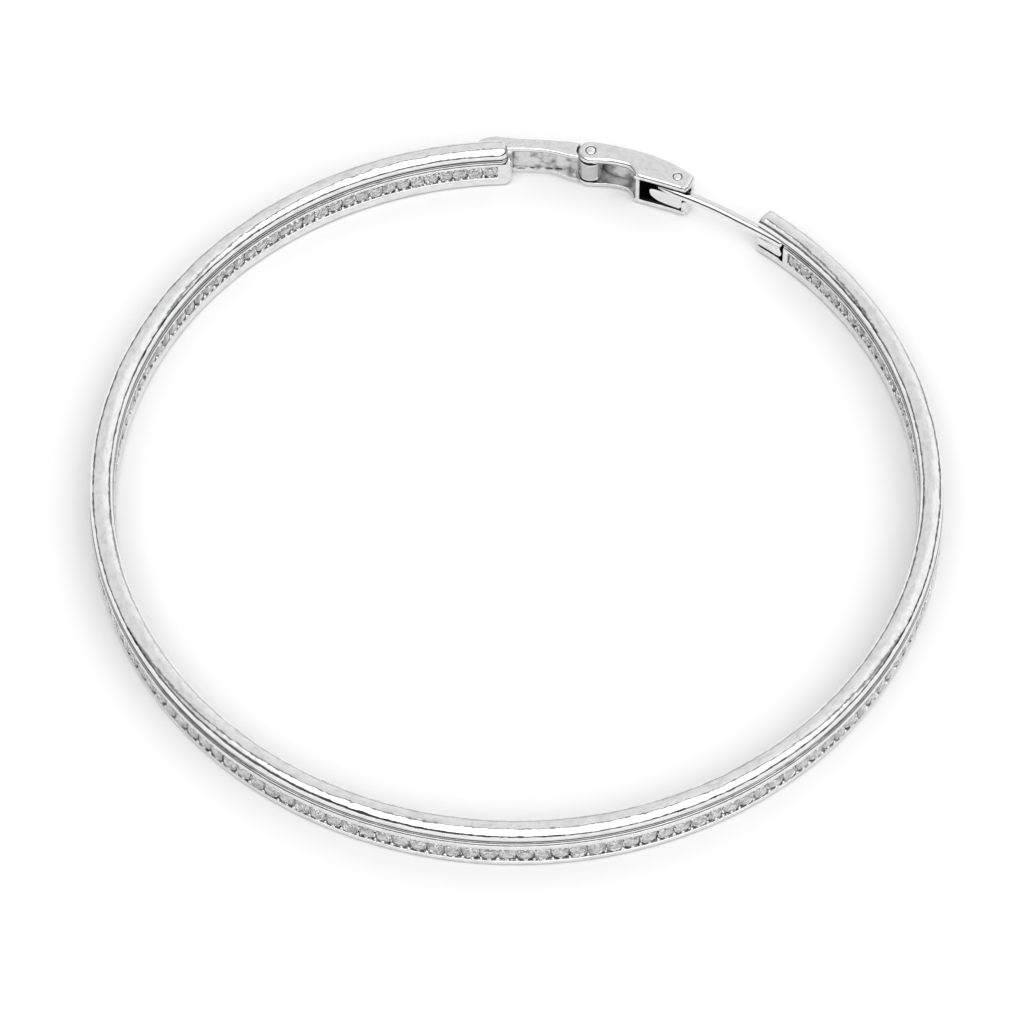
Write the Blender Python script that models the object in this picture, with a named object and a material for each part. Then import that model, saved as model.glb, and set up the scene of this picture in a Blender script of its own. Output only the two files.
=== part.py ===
"""A channel-set hoop earring, lying flat on its side.

The ring is centred on the origin and rests on z = 0. Places on the clasp are given by two
lengths: along, the arc from the ring's hinge end towards its free end, clockwise from above,
and out, the distance outwards from the middle of the ring's wall.
"""

from math import cos, pi, radians, sin, tan

import bmesh
import bpy
from mathutils import Matrix, Vector

MM = 0.001

# Ring
RING_DIAMETER = 55.0 * MM
BELT_WIDTH = 1.6 * MM
FOOT_BEVEL = 0.18 * MM
UPPER_RAIL_HEIGHT = 0.42 * MM
GROOVE_HEIGHT = 0.42 * MM
GROOVE_DEPTH = 0.2 * MM
CAP_WIDTH = 1.44 * MM
CAP_SIDE_HEIGHT = 0.2 * MM
DOME_RISE = 0.56 * MM
DOME_STEPS = 3
RING_STEPS = 72
HINGE_END_ANGLE = radians(91.2)

# Stone channels and stones
CHANNEL_DEPTH = 0.42 * MM
OUTER_RIM_HEIGHT = 0.55 * MM
OUTER_CHANNEL_HEIGHT = 1.25 * MM
INNER_RIM_HEIGHT = 0.88 * MM
INNER_CHANNEL_HEIGHT = 1.12 * MM
END_BLOCK = 0.75 * MM
STONE_SIDE_GAP = 0.07 * MM
STONE_BACK_GAP = 0.08 * MM
TABLE_RECESS = 0.05 * MM
CROWN_HEIGHT = 0.16 * MM
TABLE_SHARE = 0.58

# Clasp lengths along the ring
BRACKET_LENGTH = 5.53 * MM
LINK_LENGTH = 6.17 * MM
POST_REACH = 6.57 * MM
POST_OVERLAP = 1.72 * MM
POCKET_DEPTH = 2.38 * MM

# Hinge bracket
BRACKET_LOW = 0.3 * MM
BRACKET_HEIGHT = 2.6 * MM
BRACKET_FLANGE = 0.42 * MM
BRACKET_WEB = 0.35 * MM
SHOULDER_LENGTH = 2.2 * MM
SOLDER_LAP = 0.4 * MM
SOLDER_DEPTH = 0.06 * MM
NECK_LENGTH = 0.38 * MM

# Knuckle, the hinge between bracket and link
KNUCKLE_OUT = 0.26 * MM
EAR_RADIUS = 0.85 * MM
BARREL_RADIUS = 0.8 * MM
KNUCKLE_PIN_RADIUS = 0.3 * MM
EAR_CLEARANCE = 0.1 * MM
RUNNING_GAP = 0.08 * MM
BORE_GAP = 0.06 * MM
PIN_STAND = 0.04 * MM

# Hinge link
LINK_LOW = 0.1 * MM
LINK_HEIGHT = 3.0 * MM
LINK_PLATE = 0.45 * MM
LINK_WEB = 0.29 * MM
DIVIDER = 0.35 * MM
LINK_HALF_WIDTH = 1.08 * MM
LINK_TAIL = 1.1 * MM
LINK_END_WALL = 0.38 * MM

# Ear post
POST_PIN_OUT = -0.16 * MM
POST_PIN_RADIUS = 0.26 * MM
POST_KNUCKLE_WALL = 0.14 * MM
POST_RADIUS = 0.37 * MM
POST_OUT = -0.62 * MM
POST_LEVEL = 1.95 * MM
BOAT_TAIL = 1.9 * MM
BOAT_TOE = 0.65 * MM
BOAT_THICKNESS = 0.3 * MM
BOAT_RECESS = 0.04 * MM
BOAT_FLOOR_GAP = 0.2 * MM
BLOCK_INSET = 0.14 * MM
WIRE_ROOT = 0.25 * MM
WIRE_STEPS = 14

# Pocket and catch tongue in the free end
POCKET_FLOOR = 0.7 * MM
POCKET_BACK_ROOM = 0.3 * MM
POCKET_END_WALL = 0.45 * MM
POST_GAP = 0.07 * MM
TONGUE_LENGTH = 2.06 * MM
TONGUE_RECESS = 0.04 * MM
TONGUE_GAP = 0.1 * MM

ROUND_SIDES = 20
OVERCUT = 1.0 * MM
WELD = 0.001 * MM

# Heights and places that follow from the sizes above
MID_RADIUS = (RING_DIAMETER - BELT_WIDTH) / 2
HALF_BELT = BELT_WIDTH / 2
BELT_TOP = OUTER_RIM_HEIGHT + OUTER_CHANNEL_HEIGHT + UPPER_RAIL_HEIGHT
CAP_LOW = BELT_TOP + GROOVE_HEIGHT
DOME_LOW = CAP_LOW + CAP_SIDE_HEIGHT
LINK_HIGH = LINK_LOW + LINK_HEIGHT
LINK_FLOOR = LINK_LOW + LINK_PLATE
LINK_CEILING = LINK_HIGH - LINK_PLATE
KNUCKLE_ALONG = BRACKET_LENGTH
POST_PIN_ALONG = KNUCKLE_ALONG + LINK_LENGTH
POCKET_ALONG = POST_PIN_ALONG + POST_REACH
LINK_END = POST_PIN_ALONG + LINK_TAIL
POST_KNUCKLE_RADIUS = POST_PIN_RADIUS + BORE_GAP + POST_KNUCKLE_WALL
POCKET_BACK = POST_OUT + POST_RADIUS + POCKET_BACK_ROOM
BOAT_BASE = LINK_FLOOR + BOAT_FLOOR_GAP

# Outline tables. Lengths along are shares of the length named first, and places out are
# shares of the width named second.

# Shoulder behind the hinge end: share of SHOULDER_LENGTH, share of HALF_BELT
SHOULDER_LINE = (
    (-1.0, 0.78),
    (-0.75, 1.19),
    (-0.4, 1.4),
    (-0.1, 1.28),
)

# Bracket's outer edge: share of BRACKET_LENGTH, share of HALF_BELT
BRACKET_OUTER_LINE = (
    (0.12, 1.05),
    (0.28, 0.96),
    (0.52, 0.93),
    (0.75, 0.93),
)

# Bracket's inner edge, from the knuckle back: share of BRACKET_LENGTH, share of HALF_BELT
BRACKET_INNER_LINE = (
    (0.86, -0.5),
    (0.75, -0.48),
    (0.52, -0.2),
    (0.28, -0.1),
)

# Link's outer edge: share of LINK_LENGTH from the knuckle, share of LINK_HALF_WIDTH
LINK_OUTER_LINE = (
    (0.5, 1.0),
    (0.84, 0.82),
)

# Link's inner edge: share of LINK_LENGTH from the knuckle, share of LINK_HALF_WIDTH
LINK_INNER_LINE = (
    (0.12, -0.43),
    (0.24, -0.33),
    (0.42, -0.33),
    (0.49, -0.51),
    (0.54, -0.82),
    (0.59, -1.0),
)

# Link's rounded end: share of LINK_TAIL from the post pin, share of LINK_HALF_WIDTH
LINK_END_LINE = (
    (0.55, -0.91),
    (0.86, -0.74),
    (1.0, -0.42),
    (0.95, 0.3),
    (0.45, 0.52),
)

# Catch tongue's edge: share of TONGUE_LENGTH, share of its height
TONGUE_LINE = (
    (0.0, 0.0),
    (0.86, 0.0),
    (0.96, 0.15),
    (1.0, 0.5),
    (0.98, 0.8),
    (0.92, 1.0),
    (0.0, 1.0),
)

# Boat's stern: share of BOAT_TAIL back from the post pin, share of its height
BOAT_LINE = (
    (-0.8, 0.92),
    (-1.0, 0.83),
    (-0.97, 0.58),
    (-0.82, 0.29),
    (-0.55, 0.08),
    (-0.2, 0.0),
)


def angle_at(along):
    """Angle round the ring of a place on the clasp."""
    return HINGE_END_ANGLE - along / MID_RADIUS


def spot(along, out, level=0.0):
    """World place of a point on the clasp."""
    angle = angle_at(along)
    reach = MID_RADIUS + out
    return Vector((reach * cos(angle), reach * sin(angle), level))


def frame_at(along, out):
    """Frame with x along the clasp, y outwards and z up."""
    angle = angle_at(along)
    turn = Matrix.Rotation(angle - pi / 2, 4, "Z")
    return Matrix.Translation(spot(along, out)) @ turn


RING_START = HINGE_END_ANGLE
RING_END = angle_at(POCKET_ALONG) + 2 * pi


def clear_scene():
    for old in list(bpy.data.objects):
        bpy.data.objects.remove(old, do_unlink=True)


def make_collection(name):
    group = bpy.data.collections.new(name)
    bpy.context.scene.collection.children.link(group)
    return group


def make_material(name, colour, metallic, roughness):
    material = bpy.data.materials.new(name)
    material.use_nodes = True
    shader = material.node_tree.nodes["Principled BSDF"]
    shader.inputs["Base Color"].default_value = (*colour, 1.0)
    shader.inputs["Metallic"].default_value = metallic
    shader.inputs["Roughness"].default_value = roughness
    material.diffuse_color = (*colour, 1.0)
    return material


def add_solid(name, shape, group, rounded=False):
    """Turn a bmesh into an object with its faces pointing out, shaded smooth if rounded."""
    bmesh.ops.recalc_face_normals(shape, faces=shape.faces)
    mesh = bpy.data.meshes.new(name)
    shape.to_mesh(mesh)
    shape.free()
    if rounded:
        mesh.shade_smooth()
        mesh.set_sharp_from_angle(angle=radians(30))
    solid = bpy.data.objects.new(name, mesh)
    group.objects.link(solid)
    return solid


def curve_to_solid(curve_object, group, rounded=False):
    """Replace a curve object by a closed mesh object in the same place."""
    bpy.context.view_layer.update()
    graph = bpy.context.evaluated_depsgraph_get()
    mesh = bpy.data.meshes.new_from_object(curve_object.evaluated_get(graph))
    mesh.transform(curve_object.matrix_world)
    shape = bmesh.new()
    shape.from_mesh(mesh)
    bmesh.ops.remove_doubles(shape, verts=shape.verts, dist=WELD)
    name = curve_object.name
    bpy.data.objects.remove(curve_object, do_unlink=True)
    bpy.data.meshes.remove(mesh)
    return add_solid(name, shape, group, rounded)


def sheet_curve(name, outline, thickness, group):
    """A flat outline, filled on both sides and as thick as asked, centred on its plane."""
    curve = bpy.data.curves.new(name, "CURVE")
    curve.dimensions = "2D"
    curve.fill_mode = "BOTH"
    curve.extrude = thickness / 2
    spline = curve.splines.new("POLY")
    spline.points.add(len(outline) - 1)
    for point, (x, y) in zip(spline.points, outline):
        point.co = (x, y, 0.0, 1.0)
    spline.use_cyclic_u = True
    sheet = bpy.data.objects.new(name, curve)
    group.objects.link(sheet)
    return sheet


def plate(name, outline, low, high, group):
    """A level plate whose outline is a list of places along and out."""
    flat = [spot(along, out).to_2d() for along, out in outline]
    sheet = sheet_curve(name, flat, high - low, group)
    sheet.location.z = (low + high) / 2
    return curve_to_solid(sheet, group)


def upright_plate(name, outline, along, out_low, out_high, group):
    """A plate that stands on edge, its outline a list of steps along and levels."""
    sheet = sheet_curve(name, outline, out_high - out_low, group)
    stand_up = Matrix.Rotation(pi / 2, 4, "X")
    sheet.matrix_world = frame_at(along, (out_low + out_high) / 2) @ stand_up
    return curve_to_solid(sheet, group)


def pillar(name, along, out, radius, low, high, group):
    """A round upright cylinder."""
    shape = bmesh.new()
    place = frame_at(along, out) @ Matrix.Translation((0, 0, (low + high) / 2))
    bmesh.ops.create_cone(shape, cap_ends=True, segments=ROUND_SIDES, radius1=radius,
                          radius2=radius, depth=high - low, matrix=place)
    return add_solid(name, shape, group, rounded=True)


def box(name, along, out_low, out_high, half_length, low, high, group):
    """A box square to the ring at one place along it."""
    shape = bmesh.new()
    centre = Matrix.Translation((0, 0, (low + high) / 2))
    size = Matrix.Diagonal((2 * half_length, out_high - out_low, high - low, 1))
    place = frame_at(along, (out_low + out_high) / 2) @ centre @ size
    bmesh.ops.create_cube(shape, size=1.0, matrix=place)
    return add_solid(name, shape, group)


def ring_angles(start, end):
    """Angles of the ring's sections between two angles, and those two."""
    step = (RING_END - RING_START) / RING_STEPS
    sections = [RING_START + number * step for number in range(RING_STEPS + 1)]
    margin = step * 0.2
    between = [angle for angle in sections if start + margin < angle < end - margin]
    return [start, *between, end]


def sweep(name, profile, start, end, group):
    """A profile of points out and up, spun round the ring's axis between two angles."""
    shape = bmesh.new()
    corners = [shape.verts.new((MID_RADIUS + out, 0, level)) for out, level in profile]
    face = shape.faces.new(corners)
    bmesh.ops.rotate(shape, verts=corners, matrix=Matrix.Rotation(start, 3, "Z"))
    leading = [face, *face.edges, *face.verts]
    angles = ring_angles(start, end)
    for before, after in zip(angles, angles[1:]):
        turned = bmesh.ops.spin(shape, geom=leading, cent=(0, 0, 0), axis=(0, 0, 1),
                                angle=after - before, steps=1)
        leading = turned["geom_last"]
    return add_solid(name, shape, group, rounded=True)


def shape_with(target, tool, operation):
    """Cut a tool from a solid, or join it on, by a Boolean."""
    modifier = target.modifiers.new(f"{operation.lower()} {tool.name}", "BOOLEAN")
    modifier.operation = operation
    modifier.solver = "EXACT"
    modifier.object = tool
    tool.hide_render = True
    tool.display_type = "WIRE"


def cut(target, tool):
    shape_with(target, tool, "DIFFERENCE")


def join(target, tool):
    shape_with(target, tool, "UNION")


def line(table, start, length, width):
    """Points along and out, from a table of shares of a length and of a width."""
    return [(start + along * length, out * width) for along, out in table]


def arc(centre, radius, start, end, steps):
    """Points along and out on an arc, with angles counted from along towards out."""
    angles = [start + (end - start) * number / steps for number in range(steps + 1)]
    return [(centre[0] + radius * cos(a), centre[1] + radius * sin(a)) for a in angles]


def ring_profile():
    """Section of the ring: foot, belt, groove and domed cap."""
    groove = HALF_BELT - GROOVE_DEPTH
    cap = CAP_WIDTH / 2
    outer = [
        (HALF_BELT - FOOT_BEVEL, 0.0),
        (HALF_BELT, FOOT_BEVEL),
        (HALF_BELT, BELT_TOP),
        (groove, BELT_TOP),
        (groove, CAP_LOW),
        (cap, CAP_LOW),
    ]
    for number in range(DOME_STEPS):
        turn = pi / 2 * number / DOME_STEPS
        outer.append((cap * cos(turn), DOME_LOW + DOME_RISE * sin(turn)))
    inner = [(-out, level) for out, level in reversed(outer)]
    return [*outer, (0.0, DOME_LOW + DOME_RISE), *inner]


# Where each stone channel starts and ends round the ring
OUTER_START = RING_START + (SHOULDER_LENGTH + SOLDER_LAP) / MID_RADIUS
OUTER_END = RING_END - END_BLOCK / MID_RADIUS
INNER_START = RING_START + END_BLOCK / MID_RADIUS
INNER_END = RING_END - (POCKET_DEPTH + POCKET_END_WALL) / MID_RADIUS


def channel_cutter(name, side, floor, height, start, end, group):
    """The hollow of a stone channel, on the outer side (1) or the inner side (-1)."""
    near = side * (HALF_BELT - CHANNEL_DEPTH)
    far = side * (HALF_BELT + OVERCUT)
    profile = [(near, floor), (far, floor), (far, floor + height), (near, floor + height)]
    return sweep(name, profile, start, end, group)


def build_bracket(tools):
    """The U-shaped bracket with its shoulder and barrel."""
    shoulder = line(SHOULDER_LINE, 0.0, SHOULDER_LENGTH, HALF_BELT)
    outer = line(BRACKET_OUTER_LINE, 0.0, BRACKET_LENGTH, HALF_BELT)
    inner = line(BRACKET_INNER_LINE, 0.0, BRACKET_LENGTH, HALF_BELT)
    neck_end = KNUCKLE_ALONG - BARREL_RADIUS / 3
    neck = [(neck_end, outer[-1][1]), (neck_end, KNUCKLE_OUT - BARREL_RADIUS / 2)]
    lap_out = HALF_BELT - SOLDER_LAP + BORE_GAP
    lap = [(-SOLDER_LAP, inner[-1][1]), (-SOLDER_LAP, lap_out), (-SHOULDER_LENGTH, lap_out)]
    high = BRACKET_LOW + BRACKET_HEIGHT
    bracket = plate("bracket", [*shoulder, *outer, *neck, *inner, *lap], BRACKET_LOW, high,
                    tools)
    neck_start = KNUCKLE_ALONG - BARREL_RADIUS - NECK_LENGTH
    web_line = [(along, out - BRACKET_WEB) for along, out in outer if along < neck_start]
    hollow = [
        (0.0, -OVERCUT),
        (0.0, web_line[0][1]),
        *web_line,
        (neck_start, web_line[-1][1]),
        (neck_start, -OVERCUT),
    ]
    cut(bracket, plate("bracket_hollow", hollow, BRACKET_LOW + BRACKET_FLANGE,
                       high - BRACKET_FLANGE, tools))
    ear_sweep = EAR_RADIUS + EAR_CLEARANCE
    barrel_low = LINK_FLOOR + RUNNING_GAP
    barrel_high = LINK_CEILING - RUNNING_GAP
    centre = (KNUCKLE_ALONG, KNUCKLE_OUT)
    cut(bracket, pillar("lower_ear_room", *centre, ear_sweep, -OVERCUT, barrel_low, tools))
    cut(bracket, pillar("upper_ear_room", *centre, ear_sweep, barrel_high,
                        high + OVERCUT, tools))
    join(bracket, pillar("barrel", *centre, BARREL_RADIUS, barrel_low, barrel_high, tools))
    bore = KNUCKLE_PIN_RADIUS + BORE_GAP
    cut(bracket, pillar("barrel_bore", *centre, bore, -OVERCUT, high + OVERCUT, tools))
    return bracket


def build_tongue(tools):
    """The rounded catch tongue that fills the lower half of the pocket."""
    low = POCKET_FLOOR + TONGUE_GAP
    high = POST_LEVEL - POST_RADIUS - POST_GAP
    outline = [(along * TONGUE_LENGTH, low + up * (high - low)) for along, up in TONGUE_LINE]
    return upright_plate("tongue", outline, POCKET_ALONG, TONGUE_RECESS - HALF_BELT,
                         POCKET_BACK + SOLDER_DEPTH, tools)


def build_hoop(group, tools):
    """The ring with its channels and pocket, and the bracket and tongue soldered on."""
    hoop = sweep("hoop", ring_profile(), RING_START, RING_END, group)
    cut(hoop, channel_cutter("outer_channel", 1, OUTER_RIM_HEIGHT, OUTER_CHANNEL_HEIGHT,
                             OUTER_START, OUTER_END, tools))
    cut(hoop, channel_cutter("inner_channel", -1, INNER_RIM_HEIGHT, INNER_CHANNEL_HEIGHT,
                             INNER_START, INNER_END, tools))
    pocket_end = POCKET_ALONG + POCKET_DEPTH
    pocket = [
        (POCKET_ALONG - OVERCUT, -HALF_BELT - OVERCUT),
        (pocket_end, -HALF_BELT - OVERCUT),
        (pocket_end, POCKET_BACK),
        (POCKET_ALONG - OVERCUT, POCKET_BACK),
    ]
    pocket_top = POST_LEVEL + POST_RADIUS + POST_GAP
    cut(hoop, plate("pocket", pocket, POCKET_FLOOR, pocket_top, tools))
    join(hoop, build_tongue(tools))
    join(hoop, build_bracket(tools))
    return hoop


def stone_row(name, side, floor, height, start, end, group):
    """A row of eight-sided cut stones, each joined to the next at its girdle.

    A stone has a table, eight crown facets and a back that narrows to a keel.
    """
    face = HALF_BELT - TABLE_RECESS
    girdle = face - CROWN_HEIGHT
    back = HALF_BELT - CHANNEL_DEPTH + STONE_BACK_GAP
    half_height = height / 2 - STONE_SIDE_GAP
    middle = floor + height / 2
    row_start = start + STONE_SIDE_GAP / MID_RADIUS
    row_end = end - STONE_SIDE_GAP / MID_RADIUS
    row_length = (row_end - row_start) * (MID_RADIUS + side * girdle)
    count = max(1, round(row_length / (2 * half_height)))
    half_turn = (row_end - row_start) / count / 2
    nick = tan(pi / 8)
    corners = [(1, nick), (nick, 1), (-nick, 1), (-1, nick),
               (-1, -nick), (-nick, -1), (nick, -1), (1, -nick)]
    shape = bmesh.new()

    def corner(number, across, up, out, share=1.0):
        turn = row_start + (2 * number + 1 + across * share) * half_turn
        reach = MID_RADIUS + side * out
        level = middle + up * share * half_height
        return shape.verts.new((reach * cos(turn), reach * sin(turn), level))

    for number in range(count):
        rim = [corner(number, across, up, girdle) for across, up in corners]
        table = [corner(number, across, up, face, TABLE_SHARE) for across, up in corners]
        keel = {(across, up): corner(number, across, up * nick, back)
                for across in (1, -1) for up in (1, -1)}
        shape.faces.new(table)
        for near, far in zip(range(8), [*range(1, 8), 0]):
            shape.faces.new((rim[near], rim[far], table[far], table[near]))
        for up, first in ((1, 0), (-1, 4)):
            a, b, c, d = rim[first:first + 4]
            shape.faces.new((a, b, keel[up, up]))
            shape.faces.new((b, c, keel[-up, up], keel[up, up]))
            shape.faces.new((c, d, keel[-up, up]))
        shape.faces.new((keel[1, 1], keel[-1, 1], keel[-1, -1], keel[1, -1]))
        if number == 0:
            shape.faces.new((rim[3], rim[4], keel[-1, -1], keel[-1, 1]))
        if number == count - 1:
            shape.faces.new((rim[7], rim[0], keel[1, 1], keel[1, -1]))
    bmesh.ops.remove_doubles(shape, verts=shape.verts, dist=WELD)
    return add_solid(name, shape, group)


def link_outline():
    """Outline of the link: an ear round the knuckle, a waist and a broad end."""
    ear = arc((KNUCKLE_ALONG, KNUCKLE_OUT), EAR_RADIUS, pi / 2, 3 * pi / 2, 10)
    inner = line(LINK_INNER_LINE, KNUCKLE_ALONG, LINK_LENGTH, LINK_HALF_WIDTH)
    end = line(LINK_END_LINE, POST_PIN_ALONG, LINK_TAIL, LINK_HALF_WIDTH)
    outer = line(LINK_OUTER_LINE, KNUCKLE_ALONG, LINK_LENGTH, LINK_HALF_WIDTH)
    return [*ear, *inner, *end, *reversed(outer)]


def build_link(group, tools):
    """The link: two plates joined by an outer web, a divider and an end wall."""
    link = plate("hinge_link", link_outline(), LINK_LOW, LINK_HIGH, group)
    centre = (KNUCKLE_ALONG, KNUCKLE_OUT)
    room = BARREL_RADIUS + EAR_CLEARANCE
    levels = (LINK_FLOOR, LINK_CEILING)
    cut(link, pillar("barrel_room", *centre, room, *levels, tools))
    wide, narrow = line(LINK_OUTER_LINE, KNUCKLE_ALONG, LINK_LENGTH, LINK_HALF_WIDTH)
    corner = line(LINK_END_LINE, POST_PIN_ALONG, LINK_TAIL, LINK_HALF_WIDTH)[-1]
    divider_start = KNUCKLE_ALONG + 0.56 * LINK_LENGTH
    front = [
        (KNUCKLE_ALONG - 1.4 * EAR_RADIUS, -3 * OVERCUT),
        (divider_start, -3 * OVERCUT),
        (divider_start, wide[1] - LINK_WEB),
        (KNUCKLE_ALONG, KNUCKLE_OUT + EAR_RADIUS - LINK_WEB),
        (KNUCKLE_ALONG - 1.4 * EAR_RADIUS, KNUCKLE_OUT + EAR_RADIUS - LINK_WEB),
    ]
    cut(link, plate("front_hollow", front, *levels, tools))
    cavity_start = divider_start + DIVIDER
    cavity_end = LINK_END - LINK_END_WALL
    mouth = POST_OUT + POST_RADIUS + 2 * POST_GAP
    cavity = [
        (cavity_start, -3 * OVERCUT),
        (LINK_END + OVERCUT, -3 * OVERCUT),
        (LINK_END + OVERCUT, mouth),
        (cavity_end, mouth),
        (cavity_end, corner[1] - 1.3 * LINK_WEB),
        (POST_PIN_ALONG, (corner[1] + narrow[1]) / 2 - LINK_WEB),
        (narrow[0], narrow[1] - LINK_WEB),
        (cavity_start, wide[1] - LINK_WEB),
    ]
    cut(link, plate("post_cavity", cavity, *levels, tools))
    through = (LINK_LOW - OVERCUT, LINK_HIGH + OVERCUT)
    cut(link, pillar("ear_bore", *centre, KNUCKLE_PIN_RADIUS + BORE_GAP, *through, tools))
    cut(link, pillar("post_pin_bore", POST_PIN_ALONG, POST_PIN_OUT,
                     POST_PIN_RADIUS + BORE_GAP, *through, tools))
    return link


def build_pin(name, along, out, radius, group):
    """A rivet pin, standing a little proud of the link's plates."""
    return pillar(name, along, out, radius, LINK_LOW - PIN_STAND, LINK_HIGH + PIN_STAND,
                  group)


def post_wire(name, group):
    """The round wire of the ear post, which follows the ring and narrows at its tip."""
    start = POST_PIN_ALONG - WIRE_ROOT
    tip = POCKET_ALONG + POST_OVERLAP
    curve = bpy.data.curves.new(name, "CURVE")
    curve.dimensions = "3D"
    curve.bevel_depth = POST_RADIUS
    curve.bevel_resolution = 2
    curve.use_fill_caps = True
    spline = curve.splines.new("POLY")
    shares = [number / WIRE_STEPS for number in range(WIRE_STEPS)]
    places = [(start + (tip - start) * share, 1.0) for share in shares]
    places += [(tip - 0.5 * POST_RADIUS, 0.85), (tip, 0.45)]
    spline.points.add(len(places) - 1)
    for point, (along, girth) in zip(spline.points, places):
        point.co = (*spot(along, POST_OUT, POST_LEVEL), 1.0)
        point.radius = girth
    wire = bpy.data.objects.new(name, curve)
    group.objects.link(wire)
    return curve_to_solid(wire, group, rounded=True)


def build_post(group, tools):
    """The ear post: wire, boat-shaped blade and the knuckle on the post pin."""
    post = post_wire("ear_post", group)
    rise = POST_LEVEL - BOAT_BASE
    stern = [(along * BOAT_TAIL, BOAT_BASE + up * rise) for along, up in BOAT_LINE]
    bow = [
        (0.7 * BOAT_TOE, BOAT_BASE),
        (BOAT_TOE, BOAT_BASE + 0.17 * rise),
        (BOAT_TOE, stern[0][1]),
    ]
    boat_front = POST_OUT - POST_RADIUS + BOAT_RECESS
    join(post, upright_plate("boat", [*stern, *bow], POST_PIN_ALONG, boat_front,
                             boat_front + BOAT_THICKNESS, tools))
    levels = (LINK_FLOOR + RUNNING_GAP, LINK_CEILING - RUNNING_GAP)
    join(post, box("post_block", POST_PIN_ALONG, boat_front + BOAT_THICKNESS / 2,
                   POST_PIN_OUT, 0.95 * POST_KNUCKLE_RADIUS, levels[0] + BLOCK_INSET,
                   levels[1] - BLOCK_INSET, tools))
    centre = (POST_PIN_ALONG, POST_PIN_OUT)
    join(post, pillar("post_knuckle", *centre, POST_KNUCKLE_RADIUS, *levels, tools))
    cut(post, pillar("post_bore", *centre, POST_PIN_RADIUS + BORE_GAP, -OVERCUT,
                     LINK_HIGH + OVERCUT, tools))
    return post


def move_origin(piece, place):
    """Put a piece's origin on its joint's axis without moving the piece."""
    piece.data.transform(Matrix.Translation(-place))
    piece.location = place


def main():
    clear_scene()
    group = make_collection("hoop_earring")
    tools = make_collection("cutters")
    polished = make_material("polished white metal", (0.87, 0.87, 0.88), 1.0, 0.12)
    cast = make_material("cast white metal", (0.8, 0.8, 0.81), 1.0, 0.24)
    bright = make_material("drawn white metal wire", (0.85, 0.85, 0.86), 1.0, 0.15)
    clear = make_material("clear cut stone", (0.93, 0.94, 0.96), 0.0, 0.03)

    hoop = build_hoop(group, tools)
    outer = stone_row("outer_stones", 1, OUTER_RIM_HEIGHT, OUTER_CHANNEL_HEIGHT,
                      OUTER_START, OUTER_END, group)
    inner = stone_row("inner_stones", -1, INNER_RIM_HEIGHT, INNER_CHANNEL_HEIGHT,
                      INNER_START, INNER_END, group)
    link = build_link(group, tools)
    knuckle_pin = build_pin("knuckle_pin", KNUCKLE_ALONG, KNUCKLE_OUT,
                            KNUCKLE_PIN_RADIUS, group)
    post_pin = build_pin("post_pin", POST_PIN_ALONG, POST_PIN_OUT, POST_PIN_RADIUS, group)
    post = build_post(group, tools)

    for piece, material in ((hoop, polished), (outer, clear), (inner, clear),
                            (link, cast), (knuckle_pin, bright), (post_pin, bright),
                            (post, bright)):
        piece.data.materials.append(material)
    move_origin(link, spot(KNUCKLE_ALONG, KNUCKLE_OUT))
    move_origin(post, spot(POST_PIN_ALONG, POST_PIN_OUT))


main()
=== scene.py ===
from math import cos, pi, radians, sin, sqrt, tan

import bmesh
import bpy
from bpy.props import FloatProperty, FloatVectorProperty, IntProperty, PointerProperty
from bpy.types import Operator, Panel, PropertyGroup
from mathutils import Matrix, Vector, noise


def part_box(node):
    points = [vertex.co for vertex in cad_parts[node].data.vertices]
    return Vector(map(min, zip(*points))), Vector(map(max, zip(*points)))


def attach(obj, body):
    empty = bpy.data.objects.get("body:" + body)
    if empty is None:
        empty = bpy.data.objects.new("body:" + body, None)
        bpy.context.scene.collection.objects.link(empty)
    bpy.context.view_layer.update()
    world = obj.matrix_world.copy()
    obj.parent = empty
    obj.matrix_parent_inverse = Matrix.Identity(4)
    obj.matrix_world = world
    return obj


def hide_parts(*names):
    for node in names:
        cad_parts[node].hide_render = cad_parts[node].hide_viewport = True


bl_info = {
    "name": "Hoop earring",
    "version": (1, 0, 0),
    "blender": (4, 5, 0),
    "location": "View3D > Sidebar > Earring",
    "description": "Builds a channel-set hoop earring with its hinged clasp, lying on its side",
    "category": "Object",
}

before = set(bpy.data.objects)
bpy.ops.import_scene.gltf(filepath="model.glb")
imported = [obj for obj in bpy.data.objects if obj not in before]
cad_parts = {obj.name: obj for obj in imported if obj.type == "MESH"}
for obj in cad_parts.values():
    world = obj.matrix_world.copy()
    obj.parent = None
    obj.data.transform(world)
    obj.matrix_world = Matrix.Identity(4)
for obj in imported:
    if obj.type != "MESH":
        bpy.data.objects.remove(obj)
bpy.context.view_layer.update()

MM = 0.001

# Distance under which two points are one
WELD = 0.0001 * MM

# Levels well below and above the earring, for tools that cut right through it
BELOW = -1.0 * MM
ABOVE = 5.0 * MM

# Place well inside the ring's inner wall, for tools that cut outwards from there
INSIDE = -3.0 * MM

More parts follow.
